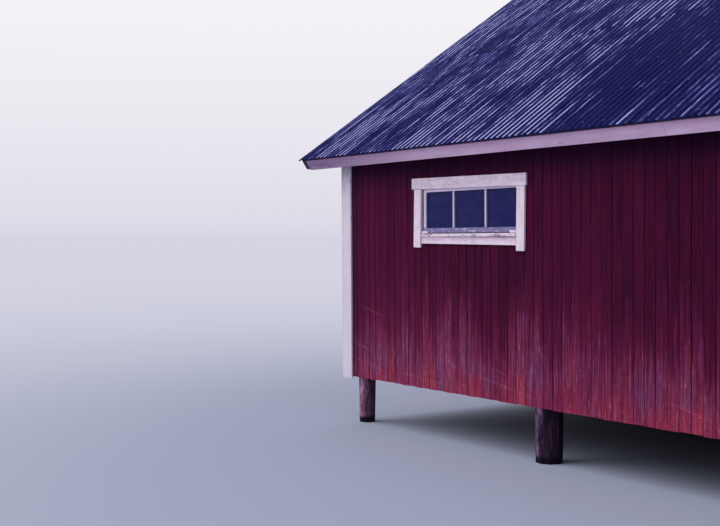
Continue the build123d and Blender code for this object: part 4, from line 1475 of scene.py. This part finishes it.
roof_nails = []
waves_in_course = sheets_in_course * waves_in_cover
for side, wall in roof_sides:
    place = slope_frame(side)
    out = (place.to_3x3() @ Vector((0.0, 1.0, 0.0))).normalized()
    for up in roof_nail_rows:
        in_upper_course = up > lower_course_length - course_lap
        lift = wave_depth / 2 + roof_nail_lift + (upper_lift if in_upper_course else 0.0)
        for number in range(1, waves_in_course, waves_to_nail):
            along = (number + 0.25) * wave_pitch - half_roof
            roof_nails.append((place @ Vector((up + jitter(12 * MM), lift, along)), out))
    cap_up = way_up(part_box("ridge_cap")[1][1] - cap_nail_edge, -upper_lift - wave_depth / 2)
    for number in range(1, waves_in_course, 2 * waves_to_nail):
        spot = Vector((cap_up, wave_depth / 2 + upper_lift + cap_nail_lift,
                       (number + 0.25) * wave_pitch - half_roof))
        roof_nails.append((place @ spot, out))
nailed("roofing_nails", roof_nails, 12 * MM, 5 * MM, 7, zinc_finish, "roof_sheets")

# Two nails in each wall board on every rail, but for the boards that an opening cuts.
wall_nails = []
for wall, turn, hand, holes, seed, notches, face, half, top, cut in walls:
    half -= wall_nail_ends[wall]
    count = round(2 * half / board_cover)
    out = Vector((math.sin(turn), -math.cos(turn), 0.0))
    place = Matrix.Rotation(turn, 4, "Z")
    for number in range(count):
        for z in gable_nail_rows if wall.endswith("gable") else wall_nail_rows:
            for share in (0.24, 0.76):
                x = (number + share) * 2 * half / count - half + jitter(4 * MM)
                clear = not any(low - nail_hole_gap < x < high + nail_hole_gap and
                                foot - nail_hole_gap < z < head + nail_hole_gap
                                for low, high, foot, head in turned(holes, hand))
                if clear and z <= top(x, x) - nail_top_gap:
                    wall_nails.append((place @ Vector((x, -face - nail_sink, z + jitter(9 * MM))), out))
nailed("wall_nails", wall_nails, 3.5 * MM, 1 * MM, 6, head_finish, "wall_boards")

# The nails of the trim: window casings, corner boards, fascias and door casings.
trim_nails = []
for side, holes in window_holes.items():
    for hole in holes:
        left, right, foot, head = (place + lining_thickness * way for place, way in zip(hole, (1, -1, 1, -1)))
        places = [(left - 0.10, head + 0.03), (left - 0.09, head + 0.075), (right + 0.09, head + 0.025),
                  (right + 0.08, head + 0.075)]
        places += [(left + share * (right - left), head + rise)
                   for share, rise in ((0.19, 0.055), (0.47, 0.060), (0.74, 0.040))]
        places += [(x, foot + rise) for x in (left - 0.062, right + 0.055)
                   for rise in (-0.06, 0.09, 0.26, 0.41)]
        places += [(left + share * (right - left), foot - 0.035) for share in (0.03, 0.5, 0.95)]
        for x, z in places:
            spot = Vector((x + jitter(6 * MM), side * (front_face + casing_thickness - MM),
                           z + jitter(6 * MM)))
            trim_nails.append((spot, Vector((0.0, side, 0.0))))
for side in (-1, 1):
    for end in (-1, 1):
        for z in corner_nail_rows:
            for inset in (0.035, 0.115):
                spot = Vector((end * (half_wall - inset), side * (front_face + trim_face),
                               z + jitter(15 * MM)))
                trim_nails.append((spot, Vector((0.0, side, 0.0))))
                spot = Vector((end * (gable_face + trim_face), side * (front_face - inset + 0.02),
                               z + jitter(15 * MM)))
                trim_nails.append((spot, Vector((end, 0.0, 0.0))))
for side in (-1, 1):
    place = slope_frame(side)
    out = (place.to_3x3() @ Vector((-1.0, 0.0, 0.0))).normalized()
    for step in range(-6, 7):
        for drop in (0.030, 0.090):
            spot = Vector((fascia_nail_face, -roof_plank_underside - drop,
                           step * fascia_nail_spacing + jitter(10 * MM)))
            trim_nails.append((place @ spot, out))
for side, width, height in door_openings:
    casing_nails = [(sign * (width / 2 + 0.06), share * height)
                    for sign in (-1, 1) for share in (0.04, 0.22, 0.42, 0.62, 0.82, 0.95)]
    casing_nails += [((step / 4 - 0.5) * (width + 0.1), height + 0.06) for step in range(5)]
    trim_nails += [(Vector((side * (gable_face + trim_face), y, floor_top + z)), Vector((side, 0.0, 0.0)))
                   for y, z in casing_nails]
nailed("trim_nails", trim_nails, 4.5 * MM, 0.8 * MM, 6, head_finish, "white_trim")
